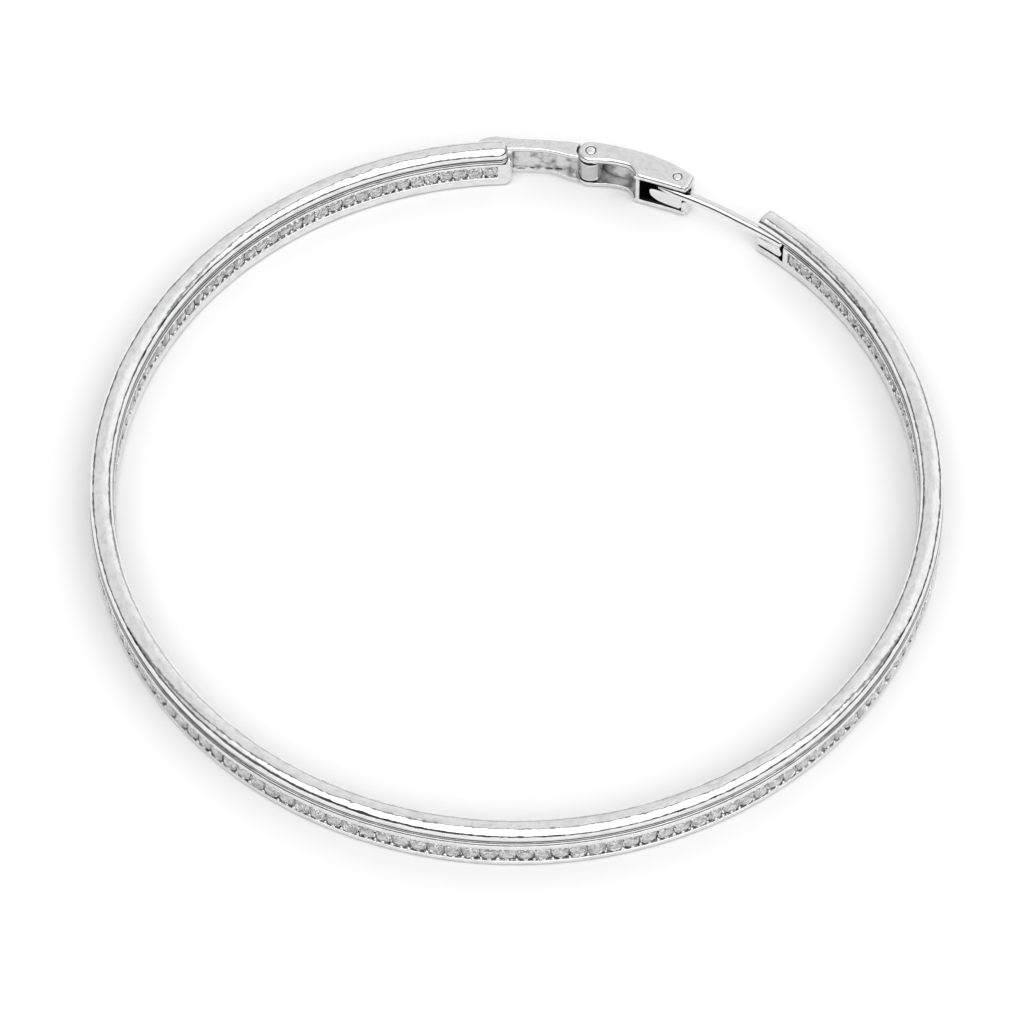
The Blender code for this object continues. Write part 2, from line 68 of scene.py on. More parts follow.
# Sizes of the ring
HOOP_LOW, HOOP_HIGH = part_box("hoop")
HALF_BELT = 0.8 * MM
MID_RADIUS = (HOOP_HIGH.x - HOOP_LOW.x - 2 * HALF_BELT) / 2
FOOT_ROUND = 0.2 * MM
BELT_TOP = 2.22 * MM
GROOVE_HEIGHT = 0.42 * MM
GROOVE_DEPTH = 0.2 * MM
GROOVE_STEPS = 3
HALF_CAP = 0.72 * MM
CAP_LOW = 2.64 * MM
DOME_LOW = 2.84 * MM
DOME_RISE = 0.56 * MM
NOTCH_DEPTH = 0.1 * MM
CHANNEL_DEPTH = 0.3 * MM
OUTER_CHANNEL = (0.46 * MM, 1.36 * MM)
INNER_CHANNEL = (0.84 * MM, 1.18 * MM)
OUTER_STONES = 134
INNER_STONES = 145
RING_START = radians(91.2)
END_BLOCK = 0.75 * MM

# Lengths and places along the clasp. Places are arcs from the ring's hinge end.
SHOULDER_LENGTH = 2.2 * MM
SOLDER_LAP = 0.4 * MM
KNUCKLE_ALONG = 5.53 * MM
LINK_LENGTH = 6.17 * MM
POST_PIN_ALONG = KNUCKLE_ALONG + LINK_LENGTH
POCKET_ALONG = POST_PIN_ALONG + 6.57 * MM
POST_TIP_ALONG = POCKET_ALONG + 2.1 * MM
POCKET_END = POCKET_ALONG + 2.38 * MM
POCKET_END_WALL = 0.45 * MM
LINK_TAIL = 1.1 * MM
LINK_END = POST_PIN_ALONG + LINK_TAIL
RING_END = RING_START - POCKET_ALONG / MID_RADIUS + 2 * pi

# Pocket, tongue and ear post
POCKET_LOW = 0.7 * MM
POST_RADIUS = 0.37 * MM
POST_LEVEL = 1.95 * MM
POST_OUT = -0.62 * MM
POST_GAP = 0.07 * MM
POCKET_HIGH = POST_LEVEL + POST_RADIUS + POST_GAP
POCKET_OUT = 0.05 * MM
POCKET_CORNER = 0.15 * MM
TONGUE_LENGTH = 2.06 * MM
TONGUE_IN = -0.76 * MM
TONGUE_OUT = 0.11 * MM
TONGUE_GAP = 0.1 * MM
TONGUE_ROUND = 0.05 * MM
POST_BEND = 0.26 * MM
POST_BEND_LENGTH = 1.8 * MM
BOAT_TAIL = 1.68 * MM
BOAT_TOE = 0.65 * MM
BOAT_THICKNESS = 0.3 * MM

# Bracket, link and pins
BRACKET_LOW = 0.3 * MM
BRACKET_HIGH = 3.05 * MM
BRACKET_FLANGE = 0.32 * MM
BRACKET_WEB = 0.55 * MM
KNUCKLE_OUT = 0.26 * MM
EAR_RADIUS = 0.85 * MM
BARREL_RADIUS = 0.8 * MM
BARREL_ROUND = 0.14 * MM
EAR_CLEARANCE = 0.1 * MM
RUNNING_GAP = 0.08 * MM
BORE_GAP = 0.06 * MM
KNUCKLE_PIN_RADIUS = 0.3 * MM
POST_PIN_RADIUS = 0.26 * MM
POST_PIN_OUT = -0.16 * MM
KNUCKLE_AXIS = (KNUCKLE_ALONG, KNUCKLE_OUT)
POST_PIN_AXIS = (POST_PIN_ALONG, POST_PIN_OUT)
LINK_LOW = 0.1 * MM
LINK_HIGH = 3.1 * MM
LINK_PLATE = 0.45 * MM
LINK_FLOOR = LINK_LOW + LINK_PLATE
LINK_CEILING = LINK_HIGH - LINK_PLATE
LINK_HALF_WIDTH = 1.08 * MM
BARREL_LOW = LINK_FLOOR + RUNNING_GAP
BARREL_HIGH = LINK_CEILING - RUNNING_GAP
WEB_START = 0.3 * MM
WEB_END = KNUCKLE_ALONG - 0.45 * MM
LINK_WEB = 0.29 * MM
LINK_FRONT_WEB = 0.72 * MM
DIVIDER = 0.3 * MM
DIVIDER_START = KNUCKLE_ALONG + 0.56 * LINK_LENGTH
LINK_END_WALL = 0.38 * MM
CAVITY_START = DIVIDER_START + DIVIDER
CAVITY_END = LINK_END - LINK_END_WALL
BOAT_BASE = LINK_FLOOR + 0.2 * MM
POST_KNUCKLE_RADIUS = POST_PIN_RADIUS + BORE_GAP + 0.14 * MM

# Outline tables. Lengths along are shares of the length named first, and places out are
# shares of the width named second.

# Shoulder behind the hinge end: share of SHOULDER_LENGTH, share of HALF_BELT
SHOULDER_LINE = (
    (-1.0, 0.78),
    (-0.75, 1.19),
    (-0.4, 1.4),
    (-0.1, 1.28),
)

# Bracket's outer edge: share of KNUCKLE_ALONG, share of HALF_BELT
BRACKET_OUTER_LINE = (
    (0.12, 1.12),
    (0.28, 1.06),
    (0.52, 1.06),
    (0.75, 1.06),
    (0.95, 1.0),
)

# Bracket's inner edge, from the knuckle back: share of KNUCKLE_ALONG, share of HALF_BELT
BRACKET_INNER_LINE = (
    (0.95, -0.5),
    (0.86, -0.5),
    (0.75, -0.48),
    (0.52, -0.2),
    (0.28, -0.1),
    (-0.07, -0.1),
)

# Lower flange's inner edge, set back: share of KNUCKLE_ALONG, share of HALF_BELT
LOWER_FLANGE_LINE = (
    (0.05, 0.2),
    (0.28, 0.2),
    (0.52, 0.12),
    (0.68, -0.15),
    (0.8, -0.5),
)

# Link's outer edge: share of LINK_LENGTH from the knuckle, share of LINK_HALF_WIDTH
LINK_OUTER_LINE = (
    (0.5, 1.0),
    (0.84, 0.82),
)

# Link's inner edge: share of LINK_LENGTH from the knuckle, share of LINK_HALF_WIDTH
LINK_INNER_LINE = (
    (0.12, -0.43),
    (0.24, -0.33),
    (0.42, -0.33),
    (0.49, -0.51),
    (0.54, -0.82),
    (0.59, -1.0),
)

# Link's rounded end: share of LINK_TAIL from the post pin, share of LINK_HALF_WIDTH
LINK_END_LINE = (
    (0.55, -0.91),
    (0.86, -0.74),
    (1.0, -0.42),
    (0.95, 0.3),
    (0.45, 0.52),
)

# Boat's stern: share of BOAT_TAIL back from the post pin, share of its height
BOAT_LINE = (
    (-0.8, 0.97),
    (-0.97, 0.86),
    (-1.0, 0.6),
    (-0.9, 0.3),
    (-0.62, 0.07),
    (-0.2, 0.0),
)

# Parts of the surround: direction of the middle, how closely a view has to turn to it
# where the part starts and where it is full (cosines), and its value before and after.
# The front screen's value comes from the stage's sizes.
FRONT_SCREEN = ((0.12, -0.42, 0.9), 0.6, 0.86)
LEFT_SIDE = ((-0.62, 0.6, 0.5), 0.35, 0.75, 1.0, 0.86)
RIGHT_SIDE = ((0.62, 0.6, 0.5), 0.6, 0.97, 1.0, 1.12)
DARK_HORIZON = ((0.5, -0.87, 0.0), -0.4, 0.5, 0.2, 0.06)
LIGHT_HORIZON = ((0.1, 1.0, 0.0), 0.7, 0.95, 0.0, 0.5)
TALL_HORIZON = ((-0.7, -0.71, 0.0), 0.55, 0.92, 0.0, 0.28)


def faces_out(place, normal):
    """How far a surface faces away from the ring's axis, from 1 to -1."""
    return normal.to_2d().dot(place.to_2d().normalized())


def along_clasp(place):
    """Arc from the ring's hinge end, and distance out from the ring's middle, of a point."""
    turn = RING_START - place.to_2d().angle_signed(Vector((1, 0)))
    return turn * MID_RADIUS, place.to_2d().length - MID_RADIUS


def from_axis(place, centre):
    """Distance in plan of a point from a place along and out."""
    return (Vector(along_clasp(place)) - Vector(centre)).length


def spot(along, out, level=0.0):
    """World place of a point on the clasp."""
    angle = RING_START - along / MID_RADIUS
    reach = MID_RADIUS + out
    return Vector((reach * cos(angle), reach * sin(angle), level))


def frame_at(along, out, level=0.0):
    """Frame with x along the clasp, y outwards and z up."""
    angle = RING_START - along / MID_RADIUS
    return Matrix.Translation(spot(along, out, level)) @ Matrix.Rotation(angle - pi / 2, 4, "Z")


# Property groups


class RingSizes(PropertyGroup):
    """Fine shape of the ring."""

    edge_round: FloatProperty(
        name="Rail rounding", description="Radius of the edges of the channel rails",
        default=0.06 * MM, min=0.0, precision=5, unit="LENGTH")
    block_round: FloatProperty(
        name="Block rounding", description="Radius in plan of the hinge end's block",
        default=0.6 * MM, min=0.0, precision=5, unit="LENGTH")
    block_reach: FloatProperty(
        name="Block reach", description="How far the hinge end's block stands past the cap",
        default=0.25 * MM, min=0.0, precision=5, unit="LENGTH")
    cap_round: FloatProperty(
        name="Cap rounding", description="Radius in plan of the cap's hinge end",
        default=0.55 * MM, min=0.0, precision=5, unit="LENGTH")
    pocket_round: FloatProperty(
        name="Pocket rounding", description="Radius in plan of the pocket end's corners",
        default=0.14 * MM, min=0.0, precision=5, unit="LENGTH")
    dome_round: FloatProperty(
        name="Dome rounding", description="Radius of the dome's edge at both ends",
        default=0.4 * MM, min=0.0, precision=5, unit="LENGTH")
    sections: IntProperty(
        name="Sections", description="Sections round the ring", default=330, min=60)
    dome_steps: IntProperty(
        name="Dome steps", description="Steps across half the domed cap", default=12, min=3)


class StoneSizes(PropertyGroup):
    """Cut and setting of the stones."""

    table_share: FloatProperty(
        name="Table", description="Width of a stone's table as a share of its girdle",
        default=0.64, min=0.3, max=0.8, subtype="FACTOR")
    pavilion: FloatProperty(
        name="Pavilion", description="Angle of a stone's lower facets",
        default=radians(38), subtype="ANGLE")
    stretch: FloatProperty(
        name="Stretch", description="Width of a stone across its row, as a share of its length",
        default=1.2, min=1.0, max=1.3)
    crown_height: FloatProperty(
        name="Crown", description="Height of a stone's crown", default=0.15 * MM,
        min=0.0, precision=5, unit="LENGTH")
    cushion: FloatProperty(
        name="Cushion", description="How far a stone's outline fills its corners",
        default=0.1, min=0.0, max=0.2, subtype="FACTOR")
    tilt: FloatProperty(
        name="Tilt", description="Largest tilt of a stone in its seat", default=radians(9),
        min=0.0, subtype="ANGLE")
    bead_radius: FloatProperty(
        name="Bead radius", description="Radius of the metal grains that hold the stones",
        default=0.16 * MM, min=0.0, precision=5, unit="LENGTH")
    bead_inset: FloatProperty(
        name="Bead inset", description="How far a grain's middle is from its rail",
        default=0.1 * MM, min=0.0, precision=5, unit="LENGTH")
    seed: IntProperty(
        name="Seed", description="Seed of the stones' turns and tilts", default=7)


class ClaspSizes(PropertyGroup):
    """Fine shape of the clasp."""

    rim_round: FloatProperty(
        name="Rim rounding", description="Radius of the cast plates' outer edges",
        default=0.26 * MM, min=0.0, precision=5, unit="LENGTH")
    grain: FloatProperty(
        name="Mesh grain", description="Size of the cast pieces' mesh cells",
        default=0.05 * MM, min=0.02 * MM, precision=5, unit="LENGTH")
    casting_relief: FloatProperty(
        name="Casting relief", description="Height of the rough casting inside the webs",
        default=0.03 * MM, min=0.0, precision=5, unit="LENGTH")
    head_rise: FloatProperty(
        name="Pin head", description="Height of a pin's domed head", default=0.1 * MM,
        min=0.0, precision=5, unit="LENGTH")


class Finishes(PropertyGroup):
    """Colours of the metals, the stones and the floor."""

    polished: FloatVectorProperty(
        name="Polished metal", description="Colour of the polished ring",
        default=(0.83, 0.83, 0.835), subtype="COLOR", min=0.0, max=1.0)
    cast: FloatVectorProperty(
        name="Cast metal", description="Colour of the cast bracket and link",
        default=(0.79, 0.79, 0.795), subtype="COLOR", min=0.0, max=1.0)
    stone: FloatVectorProperty(
        name="Stone", description="Colour of the clear stones",
        default=(1.0, 1.0, 1.0), subtype="COLOR", min=0.0, max=1.0)
    floor: FloatVectorProperty(
        name="Floor", description="Colour of the floor", default=(0.93, 0.93, 0.93),
        subtype="COLOR", min=0.0, max=1.0)


class StageSizes(PropertyGroup):
    """Camera and surround."""

    elevation: FloatProperty(
        name="Elevation", description="Camera's angle above the floor",
        default=radians(55.31), subtype="ANGLE")
    distance: FloatProperty(
        name="Distance", description="Camera's distance from its target", default=0.365,
        unit="LENGTH")
    view_width: FloatProperty(
        name="View width", description="Width that the camera takes in at its target",
        default=66.28 * MM, unit="LENGTH")
    target_right: FloatProperty(
        name="Target right", description="Target's shift to the camera's right",
        default=-0.29 * MM, precision=5, unit="LENGTH")
    target_up: FloatProperty(
        name="Target up", description="Target's shift along the camera's up direction",
        default=-0.69 * MM, precision=5, unit="LENGTH")
    sky: FloatProperty(
        name="Sky", description="Brightness of the pale surround", default=0.985, min=0.0)
    screen: FloatProperty(
        name="Screen", description="Brightness of the white screen above the front",
        default=2.1, min=0.0)


# Node helpers


def wire_up(tree, links):
    """Link sockets, given as rows of from node, output, to node and input."""
    for source, output, target, entry in links:
        tree.links.new(source.outputs[output], target.inputs[entry])


def add_node(tree, kind, settings=None, **values):
    """A node with its settings, and its inputs' values by name."""
    node = tree.nodes.new(kind)
    for name, value in (settings or {}).items():
        setattr(node, name, value)
    for name, value in values.items():
        node.inputs[name.replace("_", " ")].default_value = value
    return node


def maths(tree, operation, second=None):
    """A maths node, with its second number where it has one."""
    node = add_node(tree, "ShaderNodeMath", {"operation": operation})
    if second is not None:
        node.inputs[1].default_value = second
    return node


def new_group(name, entries, exits):
    """A shader node group with float sockets: entries by default value, and exits."""
    group = bpy.data.node_groups.new(name, "ShaderNodeTree")
    group.interface.new_socket("Vector", in_out="INPUT", socket_type="NodeSocketVector")
    for entry, value in entries.items():
        socket = group.interface.new_socket(entry, in_out="INPUT",
                                            socket_type="NodeSocketFloat")
        socket.default_value = value
    for leave in exits:
        group.interface.new_socket(leave, in_out="OUTPUT", socket_type="NodeSocketFloat")
    start = group.nodes.new("NodeGroupInput")
    end = group.nodes.new("NodeGroupOutput")
    return group, start, end


def surface_wear_group():
    """Soft waves, fine grain and darker mottling of a worked metal surface.

    The marks are laid out round the ring's axis, and drawn out along the ring by Along,
    which is below 1 for marks longer than they are wide.
    """
    group, start, end = new_group(
        "Metal surface",
        {"Along": 1.0, "Wave Size": 900.0, "Wave Depth": 0.5, "Grain Size": 9000.0,
         "Grain Depth": 0.2, "Roughness": 0.12, "Roughness Spread": 0.06,
         "Mottle Size": 2600.0, "Mottle": 0.2},
        ("Roughness", "Height", "Mottle"))
    axes = add_node(group, "ShaderNodeSeparateXYZ")
    flat = add_node(group, "ShaderNodeVectorMath", {"operation": "MULTIPLY"})
    flat.inputs[1].default_value = (1.0, 1.0, 0.0)
    reach = add_node(group, "ShaderNodeVectorMath", {"operation": "LENGTH"})
    turn = maths(group, "ARCTAN2")
    run = maths(group, "MULTIPLY", MID_RADIUS)
    drawn = maths(group, "MULTIPLY")
    place = add_node(group, "ShaderNodeCombineXYZ")
    waves = add_node(group, "ShaderNodeTexNoise", Detail=3.0, Roughness=0.55)
    mottle = add_node(group, "ShaderNodeTexNoise", Detail=4.0, Roughness=0.65)
    patches = add_node(group, "ShaderNodeMapRange", From_Min=0.45, From_Max=0.68)
    mottle_part = maths(group, "MULTIPLY")
    grain = add_node(group, "ShaderNodeTexNoise", Detail=3.0, Roughness=0.6)
    wave_part = maths(group, "MULTIPLY")
    grain_part = maths(group, "MULTIPLY")
    height = maths(group, "ADD")
    centred = maths(group, "SUBTRACT", 0.5)
    spread = maths(group, "MULTIPLY_ADD")
    wire_up(group, [
        (start, "Vector", axes, 0), (axes, "Y", turn, 0), (axes, "X", turn, 1),
        (turn, 0, run, 0), (run, 0, drawn, 0), (start, "Along", drawn, 1),
        (start, "Vector", flat, 0), (flat, 0, reach, 0),
        (reach, "Value", place, "X"), (axes, "Z", place, "Y"), (drawn, 0, place, "Z"),
        (place, 0, waves, "Vector"), (start, "Wave Size", waves, "Scale"),
        (place, 0, grain, "Vector"), (start, "Grain Size", grain, "Scale"),
        (waves, "Fac", wave_part, 0), (start, "Wave Depth", wave_part, 1),
        (grain, "Fac", grain_part, 0), (start, "Grain Depth", grain_part, 1),
        (wave_part, 0, height, 0), (grain_part, 0, height, 1), (height, 0, end, "Height"),
        (grain, "Fac", centred, 0), (centred, 0, spread, 0),
        (start, "Roughness Spread", spread, 1), (start, "Roughness", spread, 2),
        (spread, 0, end, "Roughness"),
        (place, 0, mottle, "Vector"), (start, "Mottle Size", mottle, "Scale"),
        (mottle, "Fac", patches, "Value"), (patches, 0, mottle_part, 0),
        (start, "Mottle", mottle_part, 1), (mottle_part, 0, end, "Mottle"),
    ])
    return group


def new_material(name, colour):
    """A plain material, with its node tree and its shader."""
    material = bpy.data.materials.new(name)
    material.use_nodes = True
    material.diffuse_color = (*colour, 1.0)
    tree = material.node_tree
    shader = tree.nodes["Principled BSDF"]
    shader.inputs["Base Color"].default_value = (*colour, 1.0)
    return material, tree, shader


def shade(colour, share):
    """A darker tone of a colour, with its alpha."""
    return (*(part * share for part in colour), 1.0)


def metal(name, colour, surface, bump, **values):
    """A worked metal whose surface comes from the shared group, with its own values."""
    material, tree, shader = new_material(name, colour)
    shader.inputs["Metallic"].default_value = 1.0
    # Painted shade: an attribute darkens the colour to near black where shade falls, in
    # recesses, gaps and under plates
    recess = add_node(tree, "ShaderNodeAttribute", {"attribute_name": "recess"})
    tint = add_node(tree, "ShaderNodeMix", {"data_type": "RGBA"}, Factor=0.0)
    tint.name = "Recess tint"
    tint.inputs["B"].default_value = shade(colour, 0.04)
    mottling = add_node(tree, "ShaderNodeMix", {"data_type": "RGBA"})
    mottling.name = "Mottling"
    mottling.inputs["A"].default_value = (*colour, 1.0)
    mottling.inputs["B"].default_value = shade(colour, 0.45)
    place = add_node(tree, "ShaderNodeTexCoord")
    worked = add_node(tree, "ShaderNodeGroup", {"node_tree": surface})
    worked.name = "Worked surface"
    for entry, value in values.items():
        worked.inputs[entry.replace("_", " ")].default_value = value
    relief = add_node(tree, "ShaderNodeBump", Strength=bump, Distance=0.1 * MM)
    wire_up(tree, [
        (place, "Object", worked, "Vector"),
        (worked, "Height", relief, "Height"),
        (worked, "Roughness", shader, "Roughness"),
        (relief, "Normal", shader, "Normal"),
        (worked, "Mottle", mottling, "Factor"),
        (mottling, "Result", tint, "A"),
        (recess, "Fac", tint, "Factor"),
        (tint, "Result", shader, "Base Color"),
    ])
    return material


def cast_metal(name, colour, surface):
    """Cast metal: satin plates, and a rougher skin where the web attribute is 1, darkened in
    blotches that are partly the skin's own tone and partly painted shade in the hollow.
    """
    material = metal(name, colour, surface, 0.4, Along=0.7, Wave_Size=800.0,
                     Wave_Depth=0.8, Grain_Size=6000.0, Grain_Depth=0.12, Roughness=0.24,
                     Roughness_Spread=0.1, Mottle_Size=3000.0, Mottle=0.22)
    tree = material.node_tree
    shader = tree.nodes["Principled BSDF"]
    worked = tree.nodes["Worked surface"]
    recess = tree.nodes["Recess tint"]
    mottling = tree.nodes["Mottling"]
    web = add_node(tree, "ShaderNodeAttribute", {"attribute_name": "web"})
    place = add_node(tree, "ShaderNodeTexCoord")
    # Darker blotches on the web: partly the rough skin's own tone, partly painted shade in the
    # hollow between the plates
    blotches = add_node(tree, "ShaderNodeTexNoise", Scale=1500.0, Detail=4.0)
    contrast = add_node(tree, "ShaderNodeMapRange", From_Min=0.5, From_Max=0.7)
    amount = maths(tree, "MULTIPLY")
    rougher = maths(tree, "MULTIPLY_ADD", 0.34)
    tint = add_node(tree, "ShaderNodeMix", {"data_type": "RGBA"})
    tint.inputs["B"].default_value = shade(colour, 0.4)
    wire_up(tree, [
        (web, "Fac", rougher, 0),
        (worked, "Roughness", rougher, 2),
        (rougher, 0, shader, "Roughness"),
        (place, "Object", blotches, "Vector"),
        (blotches, "Fac", contrast, "Value"),
        (contrast, 0, amount, 0),
        (web, "Fac", amount, 1),
        (amount, 0, tint, "Factor"),
        (mottling, "Result", tint, "A"),
        (tint, "Result", recess, "A"),
    ])
    return material


def stone_material(name, colour):
    """Clear stone: high index, with faint clouding that varies its roughness."""
    material, tree, shader = new_material(name, colour)
    shader.inputs["Transmission Weight"].default_value = 0.86
    shader.inputs["IOR"].default_value = 2.0
    place = add_node(tree, "ShaderNodeTexCoord")
    clouds = add_node(tree, "ShaderNodeTexNoise", Scale=700.0, Detail=2.0)
    haze = add_node(tree, "ShaderNodeMapRange", From_Min=0.35, From_Max=0.75,
                    To_Min=0.0, To_Max=0.04)
    tint = add_node(tree, "ShaderNodeMix", {"data_type": "RGBA"})
    tint.inputs["A"].default_value = (*colour, 1.0)
    tint.inputs["B"].default_value = shade(colour, 0.94)
    wire_up(tree, [
        (place, "Object", clouds, "Vector"),
        (clouds, "Fac", haze, "Value"),
        (haze, 0, shader, "Roughness"),
        (clouds, "Fac", tint, "Factor"),
        (tint, "Result", shader, "Base Color"),
    ])
    return material


def finish_material(name):
    """A material of the earring, made on its first use."""
    if name in bpy.data.materials:
        return bpy.data.materials[name]
    looks = bpy.context.scene.earring_finishes
    surface = bpy.data.node_groups.get("Metal surface") or surface_wear_group()
    if name == "Polished metal":
        return metal(name, looks.polished, surface, 0.8, Along=0.5, Wave_Size=900.0,
                     Wave_Depth=1.0, Grain_Size=7000.0, Grain_Depth=0.04, Roughness=0.07,
                     Roughness_Spread=0.04, Mottle=0.3)
    if name == "Drawn wire":
        return metal(name, looks.polished, surface, 0.2, Along=0.2, Wave_Size=1500.0,
                     Wave_Depth=0.5, Grain_Size=12000.0, Grain_Depth=0.05, Roughness=0.1,
                     Mottle=0.15)
    if name == "Cast metal":
        return cast_metal(name, looks.cast, surface)
    return stone_material(name, looks.stone)


# Mesh helpers


def round_corners(corners, steps):
    """Points of an outline with rounded corners, each with the number of its corner."""
    points = []
    for number, (x, y, radius) in enumerate(corners):
        here = Vector((x, y))
        if not radius:
            points.append((here, number))
            continue
        before = Vector(corners[number - 1][:2]) - here
        after = Vector(corners[(number + 1) % len(corners)][:2]) - here
        half = max(before.angle(after, pi / 2) / 2, 0.05)
        reach = min(radius / tan(half), 0.49 * before.length, 0.49 * after.length)
        start = here + before.normalized() * reach
        end = here + after.normalized() * reach
        for step in range(steps + 1):
            share = step / steps
            point = (start * (1 - share) ** 2 + here * (2 * share * (1 - share))
                     + end * share ** 2)
            points.append((point, number))
    return points


def rounded(corners, steps):
    """An outline with its corners rounded, from rows of x, y and radius."""
    return [(point.x, point.y) for point, _number in round_corners(corners, steps)]


def smooth_line(points, steps):
    """Points on a smooth curve through the given ones."""
    ends = [points[0], *points, points[-1]]
    line = []
    for before, here, after, later in zip(ends, ends[1:], ends[2:], ends[3:]):
        before, here, after, later = (Vector(p) for p in (before, here, after, later))
        for step in range(steps):
            t = step / steps
            line.append(0.5 * (2 * here + (after - before) * t
                               + (2 * before - 5 * here + 4 * after - later) * t ** 2
                               + (3 * here - before - 3 * after + later) * t ** 3))
    line.append(Vector(points[-1]))
    return [(point.x, point.y) for point in line]


def arc(centre, radius, start, end, steps):
    """Points on an arc, with angles counted from along towards out."""
    angles = [start + (end - start) * number / steps for number in range(steps + 1)]
    return [(centre[0] + radius * cos(a), centre[1] + radius * sin(a)) for a in angles]


def new_object(name, data):
    """An object in the scene, round its mesh, curve or camera."""
    piece = bpy.data.objects.new(name, data)
    bpy.context.scene.collection.objects.link(piece)
    return piece


def make_object(name, shape, smooth_angle=radians(35)):
    """Turn a bmesh into an object in the scene, smooth but for its sharp edges."""
    bmesh.ops.recalc_face_normals(shape, faces=shape.faces)
    mesh = bpy.data.meshes.new(name)
    shape.to_mesh(mesh)
    shape.free()
    if smooth_angle:
        mesh.shade_smooth()
        mesh.set_sharp_from_angle(angle=smooth_angle)
    return new_object(name, mesh)


def skin(shape, rims):
    """Faces between neighbouring rims of corners, and one over each end."""
    for rim, following in zip(rims, rims[1:]):
        for corners in zip(rim, [*rim[1:], rim[0]], [*following[1:], following[0]],
                           following):
            shape.faces.new(corners)
    shape.faces.new(rims[0])
    shape.faces.new(rims[-1])


def settle(piece):
    """Apply all modifiers of a piece and its place, as a plain mesh at the origin."""
    bpy.context.view_layer.update()
    graph = bpy.context.evaluated_depsgraph_get()
    mesh = bpy.data.meshes.new_from_object(piece.evaluated_get(graph))
    mesh.transform(piece.matrix_world)
    name = piece.name
    bpy.data.objects.remove(piece, do_unlink=True)
    shape = bmesh.new()
    shape.from_mesh(mesh)
    bpy.data.meshes.remove(mesh)
    bmesh.ops.remove_doubles(shape, verts=shape.verts, dist=WELD)
    return name, shape


def plain(piece, smooth_angle=radians(35)):
    """The piece again, with its modifiers and place applied."""
    return make_object(*settle(piece), smooth_angle)


def combine(target, tools, operation="DIFFERENCE"):
    """Cut tools from a piece, or join them on, and remove them."""
    for tool in tools:
        modifier = target.modifiers.new(tool.name, "BOOLEAN")
        modifier.operation = operation
        modifier.solver = "EXACT"
        modifier.object = tool
    target = plain(target)
    for tool in tools:
        bpy.data.objects.remove(tool, do_unlink=True)
    return target


def plate_curve(name, outline, low, high, edge):
    """An upright-sided plate with rounded rims, as a flat filled curve."""
    curve = bpy.data.curves.new(name, "CURVE")
    curve.dimensions = "2D"
    curve.fill_mode = "BOTH"
    curve.extrude = (high - low) / 2 - edge
    curve.bevel_depth = edge
    curve.bevel_resolution = 3
    curve.offset = -edge
    spline = curve.splines.new("POLY")
    spline.points.add(len(outline) - 1)
    for point, (x, y) in zip(spline.points, outline):
        point.co = (x, y, 0.0, 1.0)
    spline.use_cyclic_u = True
    piece = new_object(name, curve)
    piece.location.z = (low + high) / 2
    return piece


def plate(name, outline, low, high, edge=0.0):
    """A level plate whose outline is a list of places along and out."""
    flat = [spot(along, out).to_2d() for along, out in outline]
    return plain(plate_curve(name, flat, low, high, edge))


def upright_plate(name, outline, along, out_low, out_high, edge=0.0):
    """A plate that stands on edge, its outline a list of steps along and levels."""
    piece = plate_curve(name, outline, out_low, out_high, edge)
    middle = (out_low + out_high) / 2
    piece.matrix_world = frame_at(along, middle) @ Matrix.Rotation(pi / 2, 4, "X")
    return plain(piece)


def turned(name, profile, along, out, sides=48):
    """A turned piece on an upright axis, from a profile of radii and levels, top to bottom."""
    shape = bmesh.new()
    corners = [shape.verts.new((radius, 0, level)) for radius, level in profile]
    lines = [shape.edges.new(pair) for pair in zip(corners, corners[1:])]
    bmesh.ops.spin(shape, geom=[*corners, *lines], cent=(0, 0, 0), axis=(0, 0, 1),
                   angle=2 * pi, steps=sides)
    bmesh.ops.remove_doubles(shape, verts=shape.verts, dist=WELD)
    bmesh.ops.transform(shape, matrix=frame_at(along, out), verts=shape.verts)
    return make_object(name, shape)


def drum(name, along, out, radius, low, high, edge=0.0, sides=48):
    """A round upright drum with rounded rims."""
    turns = [pi / 2 * step / 4 for step in range(1, 4)]
    upper = [(radius - edge + edge * sin(turn), high - edge + edge * cos(turn))
             for turn in turns]
    lower = [(radius - edge + edge * cos(turn), low + edge - edge * sin(turn))
             for turn in turns]
    profile = [(0.0, high), (radius - edge, high), *upper, (radius, high - edge),
               (radius, low + edge), *lower, (radius - edge, low), (0.0, low)]
    return turned(name, profile, along, out, sides)


def cast(piece, grain, passes):
    """Round every edge of a cast piece, as casting and tumbling do."""
    remesh = piece.modifiers.new("even mesh", "REMESH")
    remesh.mode = "VOXEL"
    remesh.voxel_size = grain
    soften = piece.modifiers.new("tumbled edges", "SMOOTH")
    soften.factor = 0.5
    soften.iterations = passes
    name, shape = settle(piece)
    return make_object(name, shape, None)


def roughen(piece, inside, relief):
    """Raise a rough casting skin where inside says so, and mark it in the web attribute."""
    mesh = piece.data
    mesh.shade_smooth()
    web = mesh.attributes.new("web", "FLOAT", "POINT")
    normals = [vertex.normal.copy() for vertex in mesh.vertices]
    for vertex, normal in zip(mesh.vertices, normals):
        share = inside(vertex.co, normal)
        web.data[vertex.index].value = share
        lumps = noise.noise(vertex.co * 1500) + 0.5 * noise.noise(vertex.co * 4000)
        vertex.co += normal * (relief * share * lumps)


def painted_shade_of(mesh):
    """A mesh's attribute for the painted shade in its recesses."""
    return mesh.attributes.get("recess") or mesh.attributes.new("recess", "FLOAT", "POINT")


